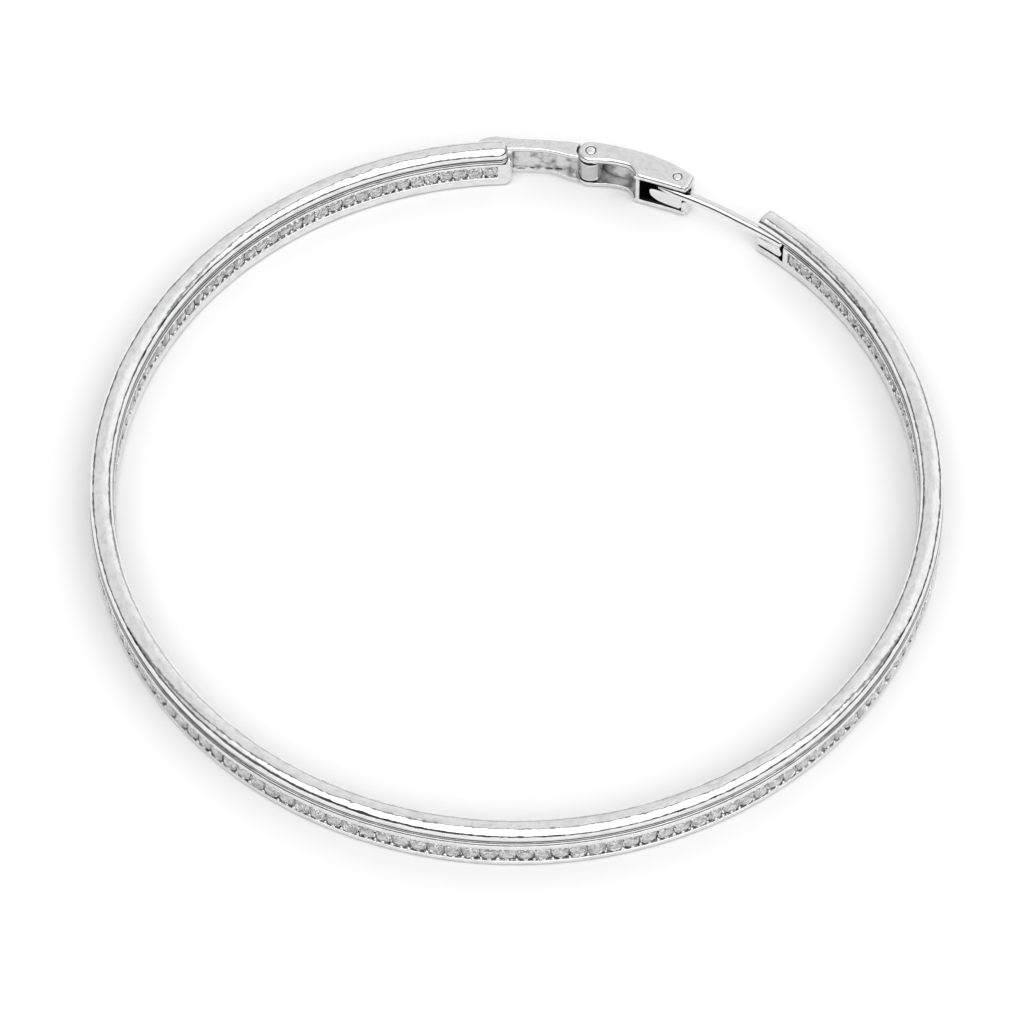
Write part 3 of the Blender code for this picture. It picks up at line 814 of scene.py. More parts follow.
def darken_hollows(piece, start, gain):
    """Mark the concave corners of a finely meshed piece for painted shade, as shade falls in
    them.
    """
    mesh = piece.data
    recess = painted_shade_of(mesh)
    sums = [0.0] * len(mesh.vertices)
    counts = [0] * len(mesh.vertices)
    for edge in mesh.edges:
        first, second = (mesh.vertices[number] for number in edge.vertices)
        way = (second.co - first.co).normalized()
        sums[first.index] += way.dot(first.normal)
        sums[second.index] -= way.dot(second.normal)
        counts[first.index] += 1
        counts[second.index] += 1
    hollow = [total / max(count, 1) for total, count in zip(sums, counts)]
    for edge in mesh.edges:
        a, b = edge.vertices
        recess.data[a].value = max(recess.data[a].value, hollow[b])
        recess.data[b].value = max(recess.data[b].value, hollow[a])
    for point in recess.data:
        point.value = min(max((point.value - start) * gain, 0.0), 0.92)


def darken(piece, share_at):
    """Mark a piece's recesses for painted shade, as far as share_at says."""
    mesh = piece.data
    recess = painted_shade_of(mesh)
    for vertex in mesh.vertices:
        share = float(share_at(vertex.co, vertex.normal))
        if share:
            recess.data[vertex.index].value = share


def dress(piece, material, body, slot, *nodes):
    """Give a finished piece its material and body, and hide the solids that it stands for. The
    slot is not used.
    """
    piece.data.materials.clear()
    piece.data.materials.append(finish_material(material))
    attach(piece, body)
    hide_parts(*nodes)


# Ring


def side_corners(channel, depth, edge):
    """One side of the ring's section, foot to cap.

    Each row has its place out, its level, its rounding, how much painted shade it gets and
    whether it belongs to the cap.
    """
    low, height = channel
    floor = HALF_BELT - depth
    # Painted shade in the channel's floor corners, seen between the stones
    deep = 0.4 * depth / CHANNEL_DEPTH
    edge_band = 0.07 * MM
    rows = [
        # The foot's painted shade stands in for the contact shadow at the floor
        (HALF_BELT, 0.0, FOOT_ROUND, 0.4, False),
        (HALF_BELT, 1.3 * FOOT_ROUND, 0.0, 0.0, False),
        (HALF_BELT, low, edge, 0.0, False),
        (floor, low, edge / 3, deep, False),
        (floor, low + edge_band, 0.0, deep / 8, False),
        (floor, low + height - edge_band, 0.0, deep / 8, False),
        (floor, low + height, edge / 3, deep, False),
        (HALF_BELT, low + height, edge, 0.0, False),
        (HALF_BELT, BELT_TOP, edge, 0.0, False),
    ]
    rise = GROOVE_HEIGHT / GROOVE_STEPS
    for step in range(GROOVE_STEPS):
        out = HALF_BELT - GROOVE_DEPTH * (step + 1) / GROOVE_STEPS
        level = BELT_TOP + rise * step
        # Painted shade: dark lines in the groove's inner corners, darkest in the notch and under
        # the cap's lip
        rows.append((out, level, edge / 5, 0.95, True))
        rows.append((out, level + rise * 0.85, edge / 5, 0.15, True))
    rows.append((out - NOTCH_DEPTH, CAP_LOW, edge / 5, 1.0, True))
    rows.append((HALF_CAP, CAP_LOW, edge / 2, 0.9, True))
    rows.append((HALF_CAP, CAP_LOW + 0.06 * MM, 0.0, 0.8, True))
    rows.append((HALF_CAP, CAP_LOW + 0.13 * MM, 0.0, 0.0, True))
    return rows


def ring_section(outer_depth, inner_depth, edge, dome_steps):
    """The ring's section as rows of out, level, painted shade and cap, in one fixed number."""
    outer = side_corners(OUTER_CHANNEL, outer_depth, edge)
    inner = [(-out, *rest)
             for out, *rest in reversed(side_corners(INNER_CHANNEL, inner_depth, edge))]
    dome = []
    for step in range(2 * dome_steps + 1):
        turn = pi / 2 * step / dome_steps
        dome.append((HALF_CAP * cos(turn), DOME_LOW + DOME_RISE * sin(turn), 0.0, 0.0, True))
    corners = [*outer, *dome, *inner]
    return [(point.x, point.y, *corners[number][3:])
            for point, number in round_corners([row[:3] for row in corners], 3)]


def channel_span(side):
    """Angles where the channel starts and ends: outer side 1, inner side -1."""
    if side > 0:
        return (RING_START + (SHOULDER_LENGTH + SOLDER_LAP) / MID_RADIUS,
                RING_END - END_BLOCK / MID_RADIUS)
    return (RING_START + END_BLOCK / MID_RADIUS,
            RING_END - (POCKET_END - POCKET_ALONG + POCKET_END_WALL) / MID_RADIUS)


def ring_stations(sizes):
    """Places round the ring where a section stands: angle, outer depth, inner depth."""
    outer = channel_span(1)
    inner = channel_span(-1)
    first = RING_START - sizes.block_reach / MID_RADIUS
    step = 0.03 * MM / MID_RADIUS
    angles = [RING_START + (RING_END - RING_START) * number / sizes.sections
              for number in range(1, sizes.sections)]
    rows = [0.0, 0.02, 0.06, 0.12, 0.2, 0.32, 0.48, 0.7, 1.0]
    for share in rows:
        angles.append(first + share * sizes.block_round / MID_RADIUS)
        angles.append(RING_START + share * sizes.cap_round / MID_RADIUS)
        angles.append(RING_END - share * sizes.cap_round / MID_RADIUS)
    angles.append(RING_START - 0.02 * MM / MID_RADIUS)
    for edge in (*outer, *inner):
        angles += [edge - step, edge + step]
    return [(angle, CHANNEL_DEPTH * (outer[0] < angle < outer[1]),
             CHANNEL_DEPTH * (inner[0] < angle < inner[1])) for angle in sorted(angles)]


def end_share(size, radius, gone):
    """What a rounded end of this radius leaves of a half width, this far from its tip."""
    left = max(radius - max(gone, 0.0), 0.0)
    return (size - radius + sqrt(radius ** 2 - left ** 2)) / size


def end_shares(angle, sizes):
    """How much a section near an end keeps of its belt, its cap and its dome's rise."""
    past_start = (angle - RING_START) * MID_RADIUS
    before_end = (RING_END - angle) * MID_RADIUS
    if past_start > before_end:
        plan = end_share(HALF_BELT, sizes.pocket_round, before_end)
        return plan, plan, end_share(DOME_RISE, sizes.dome_round, before_end)
    belt = end_share(HALF_BELT, sizes.block_round, past_start + sizes.block_reach)
    if past_start < -0.001 * MM:
        return belt, 0.0, 0.0
    return (belt, end_share(HALF_CAP, sizes.cap_round, past_start),
            end_share(DOME_RISE, sizes.dome_round, past_start))


def in_pocket(place, _normal):
    """Whether a point of the ring is on the pocket's walls, which get painted shade."""
    along, out = along_clasp(place)
    return (POCKET_LOW - 0.01 * MM < place.z < POCKET_HIGH + 0.01 * MM
            and -0.3 * MM < out < 0.2 * MM and POCKET_ALONG < along < POCKET_END)


def build_ring(sizes):
    """The polished ring with its stone channels, stepped groove, domed cap and pocket."""
    shape = bmesh.new()
    # Painted shade: each point takes its darkness from its section row
    recess = shape.verts.layers.float.new("recess")
    rims = []
    for angle, outer_depth, inner_depth in ring_stations(sizes):
        belt, cap, dome = end_shares(angle, sizes)
        rim = []
        for out, level, dark, in_cap in ring_section(outer_depth, inner_depth,
                                                     sizes.edge_round, sizes.dome_steps):
            reach = MID_RADIUS + out * (cap if in_cap else belt)
            if in_cap and not cap:
                level = BELT_TOP
            if level > DOME_LOW:
                level = DOME_LOW + (level - DOME_LOW) * dome
            corner = shape.verts.new((reach * cos(angle), reach * sin(angle), level))
            corner[recess] = dark
            rim.append(corner)
        rims.append(rim)
    skin(shape, rims)
    bmesh.ops.remove_doubles(shape, verts=shape.verts, dist=WELD)
    bmesh.ops.dissolve_degenerate(shape, edges=shape.edges, dist=WELD)
    ring = make_object("ring_metal", shape)
    pocket = [
        (POCKET_ALONG - 1.0 * MM, INSIDE, 0.0),
        (POCKET_END, INSIDE, 0.0),
        (POCKET_END, POCKET_OUT, POCKET_CORNER),
        (POCKET_ALONG - 1.0 * MM, POCKET_OUT, 0.0),
    ]
    hollow = plate("pocket", rounded(pocket, 4), POCKET_LOW, POCKET_HIGH)
    ring = combine(ring, [hollow])
    # Painted shade on the pocket's walls
    darken(ring, in_pocket)
    return ring


def build_tongue():
    """The rounded catch tongue in the pocket's lower half."""
    low = POCKET_LOW + TONGUE_GAP
    high = POST_LEVEL - POST_RADIUS - POST_GAP
    end = (high - low) / 2
    outline = [
        (TONGUE_ROUND, low, TONGUE_ROUND),
        (TONGUE_LENGTH, low, end),
        (TONGUE_LENGTH, high, end),
        (TONGUE_ROUND, high, TONGUE_ROUND),
    ]
    return upright_plate("catch_tongue", rounded(outline, 8), POCKET_ALONG,
                         TONGUE_IN, TONGUE_OUT, TONGUE_ROUND)


# Bracket and link


def line(table, start, length, width):
    """Points along and out, from a table of shares of a length and of a width."""
    return [(start + along * length, out * width) for along, out in table]


def in_bracket_web(place, normal):
    """1 on the rough casting inside the bracket, between its flanges."""
    along, _out = along_clasp(place)
    return float(LINK_FLOOR < place.z < LINK_CEILING and 0.0 < along < WEB_END
                 and faces_out(place, normal) < 0 and normal.z > -0.8
                 and from_axis(place, KNUCKLE_AXIS) > BARREL_RADIUS + 0.05 * MM)


def bracket_painted_shade(place, normal):
    """How much painted shade the bracket gets: at the barrel's lips, over the barrel's middle,
    under the top and in its corners.
    """
    along, out = along_clasp(place)
    if from_axis(place, KNUCKLE_AXIS) < BARREL_RADIUS + 0.02 * MM:
        from_lip = min(place.z - BARREL_LOW - BARREL_ROUND,
                       BARREL_HIGH - BARREL_ROUND - 0.04 * MM - place.z)
        return 1.0 if from_lip < 0 else 0.28 * min(from_lip / (0.2 * MM), 1.0)
    under_plate = place.z > BRACKET_HIGH - BRACKET_FLANGE - 0.05 * MM and normal.z < -0.05
    over_flange = abs(place.z - BRACKET_LOW - BRACKET_FLANGE) < 0.07 * MM
    at_corner = out > 0.18 * MM and normal.z < 0.9 and faces_out(place, normal) < 0.3
    patchy = noise.noise(place * 1600) > 0.05
    return (WEB_START < along < WEB_END
            and (under_plate or over_flange and at_corner and patchy))


def build_bracket(sizes):
    """The cast bracket: shoulder, two flanges with a web between, and the barrel."""
    outer = [*line(SHOULDER_LINE, 0.0, SHOULDER_LENGTH, HALF_BELT),
             *line(BRACKET_OUTER_LINE, 0.0, KNUCKLE_ALONG, HALF_BELT)]
    inner = line(BRACKET_INNER_LINE, 0.0, KNUCKLE_ALONG, HALF_BELT)
    lap = [(-SHOULDER_LENGTH, 0.46 * MM)]
    outline = [*smooth_line(outer, 4), *smooth_line(inner, 4), *lap]
    bracket = plate("hinge_bracket", outline, BRACKET_LOW, BRACKET_HIGH, 0.16 * MM)
    web = [(along, out - BRACKET_WEB) for along, out in smooth_line(outer[3:], 4)
           if WEB_START < along < WEB_END]
    hollow = [(WEB_START, INSIDE), (WEB_START, web[0][1]), *web[:-2],
              (WEB_END - 0.1 * MM, web[-1][1] - 0.08 * MM),
              (WEB_END, web[-1][1] - 0.35 * MM), (WEB_END, INSIDE)]
    flange_edge = line(LOWER_FLANGE_LINE, 0.0, KNUCKLE_ALONG, HALF_BELT)
    setback = [(flange_edge[0][0], INSIDE), *smooth_line(flange_edge, 4),
               (flange_edge[-1][0], INSIDE)]
    ear_room = EAR_RADIUS + EAR_CLEARANCE
    bracket = combine(bracket, [
        plate("hollow", hollow, BRACKET_LOW + BRACKET_FLANGE, BRACKET_HIGH - BRACKET_FLANGE),
        plate("setback", setback, BELOW, BRACKET_LOW + 1.3 * BRACKET_FLANGE),
        drum("lower_room", *KNUCKLE_AXIS, ear_room, BELOW, BARREL_LOW),
        drum("upper_room", *KNUCKLE_AXIS, ear_room, BARREL_HIGH, ABOVE),
    ])
    barrel = drum("barrel", *KNUCKLE_AXIS, BARREL_RADIUS, BARREL_LOW, BARREL_HIGH,
                  BARREL_ROUND)
    bracket = combine(bracket, [barrel], "UNION")
    bore = drum("bore", *KNUCKLE_AXIS, KNUCKLE_PIN_RADIUS + BORE_GAP, BELOW, ABOVE)
    bracket = cast(combine(bracket, [bore]), sizes.grain, 3)
    # Painted shade in the concave corners, at the barrel's lips, under the top plate and in the
    # web's corners
    darken_hollows(bracket, 0.05, 6.0)
    roughen(bracket, in_bracket_web, sizes.casting_relief)
    darken(bracket, bracket_painted_shade)
    return bracket


def link_outline():
    """Outline of the link: an ear round the knuckle, a waist and a broad end."""
    ear = arc(KNUCKLE_AXIS, EAR_RADIUS, pi / 2, 3 * pi / 2, 20)
    inner = line(LINK_INNER_LINE, KNUCKLE_ALONG, LINK_LENGTH, LINK_HALF_WIDTH)
    end = line(LINK_END_LINE, POST_PIN_ALONG, LINK_TAIL, LINK_HALF_WIDTH)
    outer = line(LINK_OUTER_LINE, KNUCKLE_ALONG, LINK_LENGTH, LINK_HALF_WIDTH)
    inner_side = smooth_line([ear[-1], *inner, *end[:3]], 5)
    outer_side = smooth_line([*end[3:], *reversed(outer), ear[0]], 5)
    return [*ear[1:-1], *inner_side, *outer_side[:-1]]


def in_link_web(place, normal):
    """1 on the rough casting in the link's front hollow."""
    along, out = along_clasp(place)
    return float(LINK_FLOOR - 0.03 * MM < place.z < LINK_CEILING and normal.z > -0.8
                 and KNUCKLE_ALONG < along < DIVIDER_START and out > -0.3 * MM
                 and (faces_out(place, normal) < 0 or normal.z > 0.8))


def in_cavity(place, normal):
    """How much painted shade the link gets in the cavity for the ear post's root."""
    along, out = along_clasp(place)
    return 0.9 * (faces_out(place, normal) < 0.3
                  and CAVITY_START - 0.02 * MM < along < CAVITY_END + 0.02 * MM
                  and -0.8 * MM < out
                  and LINK_FLOOR - 0.02 * MM < place.z < LINK_CEILING + 0.02 * MM)


def in_bore(place, normal):
    """Whether a point of the link is in a pin's bore or under the upper plate, where painted
    shade goes.
    """
    under_plate = place.z > LINK_CEILING - 0.05 * MM and normal.z < -0.05
    return (under_plate or from_axis(place, KNUCKLE_AXIS) < KNUCKLE_PIN_RADIUS + BORE_GAP
            or from_axis(place, POST_PIN_AXIS) < POST_PIN_RADIUS + BORE_GAP)


def build_link(sizes):
    """The cast link: two plates joined by an outer web, a divider and an end wall."""
    link = plate("clasp_link", link_outline(), LINK_LOW, LINK_HIGH, sizes.rim_round)
    levels = (LINK_FLOOR, LINK_CEILING)
    wide, narrow = line(LINK_OUTER_LINE, KNUCKLE_ALONG, LINK_LENGTH, LINK_HALF_WIDTH)
    corner = line(LINK_END_LINE, POST_PIN_ALONG, LINK_TAIL, LINK_HALF_WIDTH)[-1]
    ear_side = KNUCKLE_OUT + EAR_RADIUS - LINK_WEB
    front = [
        (KNUCKLE_ALONG - 1.4 * EAR_RADIUS, INSIDE),
        (DIVIDER_START, INSIDE),
        (DIVIDER_START, wide[1] - LINK_FRONT_WEB),
        (KNUCKLE_ALONG + 1.5 * MM, 0.42 * MM),
        (KNUCKLE_ALONG + 0.75 * MM, ear_side),
        (KNUCKLE_ALONG, ear_side),
        (KNUCKLE_ALONG - 1.4 * EAR_RADIUS, ear_side),
    ]
    mouth = POST_OUT + POST_RADIUS + 2 * POST_GAP
    cavity = [
        (CAVITY_START, INSIDE),
        (LINK_END + 1.0 * MM, INSIDE),
        (LINK_END + 1.0 * MM, mouth),
        (CAVITY_END, mouth),
        (CAVITY_END, corner[1] - 1.3 * LINK_WEB),
        (POST_PIN_ALONG, (corner[1] + narrow[1]) / 2 - LINK_WEB),
        (narrow[0], narrow[1] - LINK_WEB),
        (CAVITY_START, wide[1] - LINK_WEB),
    ]
    link = combine(link, [
        drum("barrel_room", *KNUCKLE_AXIS, BARREL_RADIUS + EAR_CLEARANCE, *levels),
        plate("front_hollow", front, *levels),
        plate("post_cavity", cavity, *levels),
        drum("ear_bore", *KNUCKLE_AXIS, KNUCKLE_PIN_RADIUS + BORE_GAP, BELOW, ABOVE),
        drum("post_pin_bore", *POST_PIN_AXIS, POST_PIN_RADIUS + BORE_GAP, BELOW, ABOVE),
    ])
    lip = [
        (CAVITY_END, mouth),
        (CAVITY_END, -0.82 * MM),
        *[(along, out) for along, out in line(LINK_END_LINE, POST_PIN_ALONG, LINK_TAIL,
                                              LINK_HALF_WIDTH) if out < mouth],
        (LINK_END, mouth),
    ]
    low_wall = POST_LEVEL - POST_RADIUS - 2 * POST_GAP
    end_lip = plate("end_lip", lip, LINK_LOW + LINK_PLATE / 2, low_wall)
    link = cast(combine(link, [end_lip], "UNION"), sizes.grain, 3)
    # Painted shade in the concave corners, the post's cavity, the pin bores and under the upper
    # plate
    darken_hollows(link, 0.05, 6.0)
    roughen(link, in_link_web, sizes.casting_relief)
    darken(link, in_cavity)
    darken(link, in_bore)
    return link


def build_pin(name, node, axis, radius, rise):
    """A rivet pin with a low domed head at each end."""
    low, high = (corner.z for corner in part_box(node))
    radius += 0.02 * MM
    dome = [(radius * sin(turn), rise * (1 - cos(turn)))
            for turn in (pi / 2 * step / 8 for step in range(9))]
    upper = [(reach, high - drop) for reach, drop in dome]
    lower = [(reach, low + drop) for reach, drop in reversed(dome)]
    return turned(name, [*upper, *lower], *axis)


# Ear post


def build_wire():
    """The ear post's curved wire, with a tapered root, a bent end and a rounded tip."""
    start = POST_PIN_ALONG - 1.2 * MM
    steps = 72
    nose = 0.9 * POST_RADIUS
    length = POST_TIP_ALONG - nose - start
    girths = []
    for step in range(steps + 1):
        gone = length * step / steps
        root = min(gone / (1.6 * MM), 1.0)
        girths.append((start + gone, 0.2 + 0.8 * sin(root * pi / 2)))
    for step in range(1, 9):
        turn = pi / 2 * step / 9
        girths.append((POST_TIP_ALONG - nose * (1 - sin(turn)), cos(turn)))
    sides = 32
    shape = bmesh.new()
    rims = []
    for along, girth in girths:
        bent = max(along - POCKET_ALONG + POST_BEND_LENGTH, 0.0)
        out = POST_OUT + POST_BEND * min(bent / POST_BEND_LENGTH / 2, 1.0) ** 1.5
        rims.append([
            shape.verts.new(spot(along, out + POST_RADIUS * girth * cos(turn),
                                 POST_LEVEL + POST_RADIUS * girth * sin(turn)))
            for turn in (2 * pi * side / sides for side in range(sides))])
    skin(shape, rims)
    return make_object("post_wire", shape)


def build_post():
    """The ear post: its wire, boat-shaped blade and knuckle."""
    rise = POST_LEVEL - BOAT_BASE
    stern = [(along * BOAT_TAIL, BOAT_BASE + up * rise) for along, up in BOAT_LINE]
    keel = [*smooth_line(stern, 5), (0.7 * BOAT_TOE, BOAT_BASE),
            (BOAT_TOE, BOAT_BASE + 0.17 * rise), (BOAT_TOE, stern[0][1])]
    front = POST_OUT - POST_RADIUS + 0.04 * MM
    boat = upright_plate("boat", keel, POST_PIN_ALONG, front, front + BOAT_THICKNESS,
                         0.04 * MM)
    knuckle = drum("knuckle", *POST_PIN_AXIS, POST_KNUCKLE_RADIUS, BARREL_LOW, BARREL_HIGH,
                   0.03 * MM)
    post = combine(build_wire(), [boat, knuckle], "UNION")
    bore = drum("bore", *POST_PIN_AXIS, POST_PIN_RADIUS + BORE_GAP, BELOW, ABOVE)
    return combine(post, [bore])


# Stones


def cut_stone(name, sizes, radius, depth):
    """A round brilliant with its table up: table, stars, kites and halves, then pavilion."""
    shape = bmesh.new()

    def ring_of(count, reach, level, offset):
        corners = []
        for number in range(count):
            turn = 2 * pi * (number + offset) / count
            here = reach * (1 + sizes.cushion * sin(2 * turn) ** 2)
            corners.append(shape.verts.new((here * sizes.stretch * cos(turn),
                                            here * sin(turn), level)))
        return corners

    top = sizes.crown_height
    table = ring_of(8, radius * sizes.table_share, top, 0.0)
    stars = ring_of(8, radius * (0.55 + 0.45 * sizes.table_share), top * 0.52, 0.5)
    girdle = ring_of(16, radius, 0.0, 0.0)
    lower = ring_of(8, radius * 0.3, -depth * 0.73, 0.5)
    culet = shape.verts.new((0, 0, -depth))
    shape.faces.new(table)
    for number in range(8):
        following = (number + 1) % 8
        edge = 2 * number
        shape.faces.new((table[number], stars[number], table[following]))
        shape.faces.new((table[number], stars[number - 1], girdle[edge], stars[number]))
        shape.faces.new((stars[number], girdle[edge], girdle[edge + 1]))
        shape.faces.new((stars[number], girdle[edge + 1], girdle[(edge + 2) % 16]))
        shape.faces.new((girdle[edge], lower[number], girdle[edge + 1]))
        shape.faces.new((girdle[edge + 1], lower[number], girdle[(edge + 2) % 16]))
        shape.faces.new((girdle[edge], lower[number - 1], culet, lower[number]))
    return make_object(name, shape, None)


def row_tree():
    """Geometry nodes that set copies of an object in a row round the ring."""
    tree = bpy.data.node_groups.new("Row round the ring", "GeometryNodeTree")
    tree.interface.new_socket("Geometry", in_out="INPUT", socket_type="NodeSocketGeometry")
    for name, kind in (("Part", "Object"), ("Material", "Material"), ("Count", "Int"),
                       ("Start", "Float"), ("Step", "Float"), ("Radius", "Float"),
                       ("Level", "Float"), ("Facing", "Float"), ("Tilt", "Vector"),
                       ("Shift", "Float"), ("Smallest", "Float"), ("Seed", "Int")):
        tree.interface.new_socket(name, in_out="INPUT", socket_type=f"NodeSocket{kind}")
    tree.interface.new_socket("Geometry", in_out="OUTPUT", socket_type="NodeSocketGeometry")
    entry = tree.nodes.new("NodeGroupInput")
    leave = tree.nodes.new("NodeGroupOutput")
    index = add_node(tree, "GeometryNodeInputIndex")
    turn = maths(tree, "MULTIPLY_ADD")
    across = maths(tree, "COSINE")
    deep = maths(tree, "SINE")
    across_out = maths(tree, "MULTIPLY")
    deep_out = maths(tree, "MULTIPLY")
    place = add_node(tree, "ShaderNodeCombineXYZ")
    back = maths(tree, "MULTIPLY", -1.0)
    shift = add_node(tree, "FunctionNodeRandomValue", {"data_type": "FLOAT_VECTOR"})
    moved = add_node(tree, "ShaderNodeVectorMath", {"operation": "ADD"})
    points = add_node(tree, "GeometryNodePoints")
    quarter = maths(tree, "MULTIPLY", pi / 2)
    facing = add_node(tree, "ShaderNodeCombineXYZ")
    face_out = add_node(tree, "FunctionNodeEulerToRotation")
    low = add_node(tree, "ShaderNodeVectorMath", {"operation": "SCALE"}, Scale=-1.0)
    wobble = add_node(tree, "FunctionNodeRandomValue", {"data_type": "FLOAT_VECTOR"})
    wobble_turn = add_node(tree, "FunctionNodeEulerToRotation")
    seat = add_node(tree, "FunctionNodeRotateRotation", {"rotation_space": "LOCAL"})
    size = add_node(tree, "FunctionNodeRandomValue", {"data_type": "FLOAT"})
    size.inputs[3].default_value = 1.0
    parts = add_node(tree, "GeometryNodeObjectInfo")
    row = add_node(tree, "GeometryNodeInstanceOnPoints")
    real = add_node(tree, "GeometryNodeRealizeInstances")
    dressed = add_node(tree, "GeometryNodeSetMaterial")
    wire_up(tree, [
        (index, 0, turn, 0), (entry, "Step", turn, 1), (entry, "Start", turn, 2),
        (turn, 0, across, 0), (turn, 0, deep, 0),
        (across, 0, across_out, 0), (entry, "Radius", across_out, 1),
        (deep, 0, deep_out, 0), (entry, "Radius", deep_out, 1),
        (across_out, 0, place, "X"), (deep_out, 0, place, "Y"), (entry, "Level", place, "Z"),
        (entry, "Shift", back, 0), (back, 0, shift, "Min"), (entry, "Shift", shift, "Max"),
        (entry, "Seed", shift, "Seed"), (place, 0, moved, 0), (shift, 0, moved, 1),
        (entry, "Count", points, "Count"), (moved, 0, points, "Position"),
        (entry, "Facing", quarter, 0), (quarter, 0, facing, "Y"), (turn, 0, facing, "Z"),
        (facing, 0, face_out, 0),
        (entry, "Tilt", low, 0), (low, 0, wobble, "Min"), (entry, "Tilt", wobble, "Max"),
        (entry, "Seed", wobble, "Seed"), (wobble, 0, wobble_turn, 0),
        (face_out, 0, seat, 0), (wobble_turn, 0, seat, 1),
        (entry, "Smallest", size, 2), (entry, "Seed", size, "Seed"),
        (entry, "Part", parts, "Object"),
        (points, 0, row, "Points"), (parts, "Geometry", row, "Instance"),
        (seat, 0, row, "Rotation"), (size, 1, row, "Scale"),
        (row, 0, real, 0), (real, 0, dressed, 0), (entry, "Material", dressed, "Material"),
        (dressed, 0, leave, 0),
    ])
    return tree


def build_row(name, part, material, values):
    """A row of copies of a part round the ring, as one plain mesh."""
    tree = bpy.data.node_groups.get("Row round the ring") or row_tree()
    row = new_object(name, bpy.data.meshes.new(name))
    modifier = row.modifiers.new("row", "NODES")
    modifier.node_group = tree
    values = {**values, "Part": part, "Material": finish_material(material)}
    for socket in tree.interface.items_tree:
        if socket.in_out == "INPUT" and socket.name in values:
            modifier[socket.identifier] = values[socket.name]
    bpy.context.view_layer.update()
    graph = bpy.context.evaluated_depsgraph_get()
    mesh = bpy.data.meshes.new_from_object(row.evaluated_get(graph))
    row.modifiers.clear()
    row.data = mesh
    mesh.name = name
    bpy.data.objects.remove(part, do_unlink=True)
    return row


def build_stones(name, side, channel, count, sizes):
    """A row of cut stones in one channel."""
    start, end = channel_span(side)
    low, height = channel
    girdle = HALF_BELT - 0.03 * MM - sizes.crown_height
    step = (end - start) / count
    reach = MID_RADIUS + side * girdle
    radius = min(step * reach / 2, height / 2) * 0.985
    depth = min(radius * tan(sizes.pavilion), girdle - (HALF_BELT - CHANNEL_DEPTH))
    stone = cut_stone("stone", sizes, radius, depth)
    return build_row(name, stone, "Clear stone", {
        "Count": count, "Start": start + step / 2, "Step": step, "Radius": reach,
        "Level": low + height / 2, "Facing": float(side),
        "Tilt": (sizes.tilt, sizes.tilt, 0.1), "Shift": 0.0, "Smallest": 1.0,
        "Seed": sizes.seed,
    })


def build_beads(name, side, channel, count, upper, sizes):
    """Raised grains of metal along one rail, two to a stone, that hold the stones."""
    start, end = channel_span(side)
    low, height = channel
    step = (end - start) / count / 2
    level = low + height - sizes.bead_inset if upper else low + sizes.bead_inset
    shape = bmesh.new()
    bmesh.ops.create_icosphere(shape, subdivisions=2, radius=sizes.bead_radius)
    bead = make_object("bead", shape, radians(180))
    reach = MID_RADIUS + side * (HALF_BELT - 0.9 * sizes.bead_radius)
    return build_row(name, bead, "Polished metal", {
        "Count": 2 * count - 1, "Start": start + step, "Step": step, "Radius": reach,
        "Level": level, "Facing": float(side), "Tilt": (1.0, 1.0, 1.0),
        "Shift": 0.05 * MM, "Smallest": 0.6, "Seed": sizes.seed + 10 * side + upper,
    })


# Stage


def build_floor(colour):
    """A wide, round, pale floor."""
    shape = bmesh.new()
    bmesh.ops.create_circle(shape, cap_ends=True, segments=96, radius=1.5)
    floor = make_object("floor", shape, None)
    material, _tree, shader = new_material("Floor", colour)
    shader.inputs["Roughness"].default_value = 1.0
    shader.inputs["Specular IOR Level"].default_value = 0.0
    floor.data.materials.append(material)


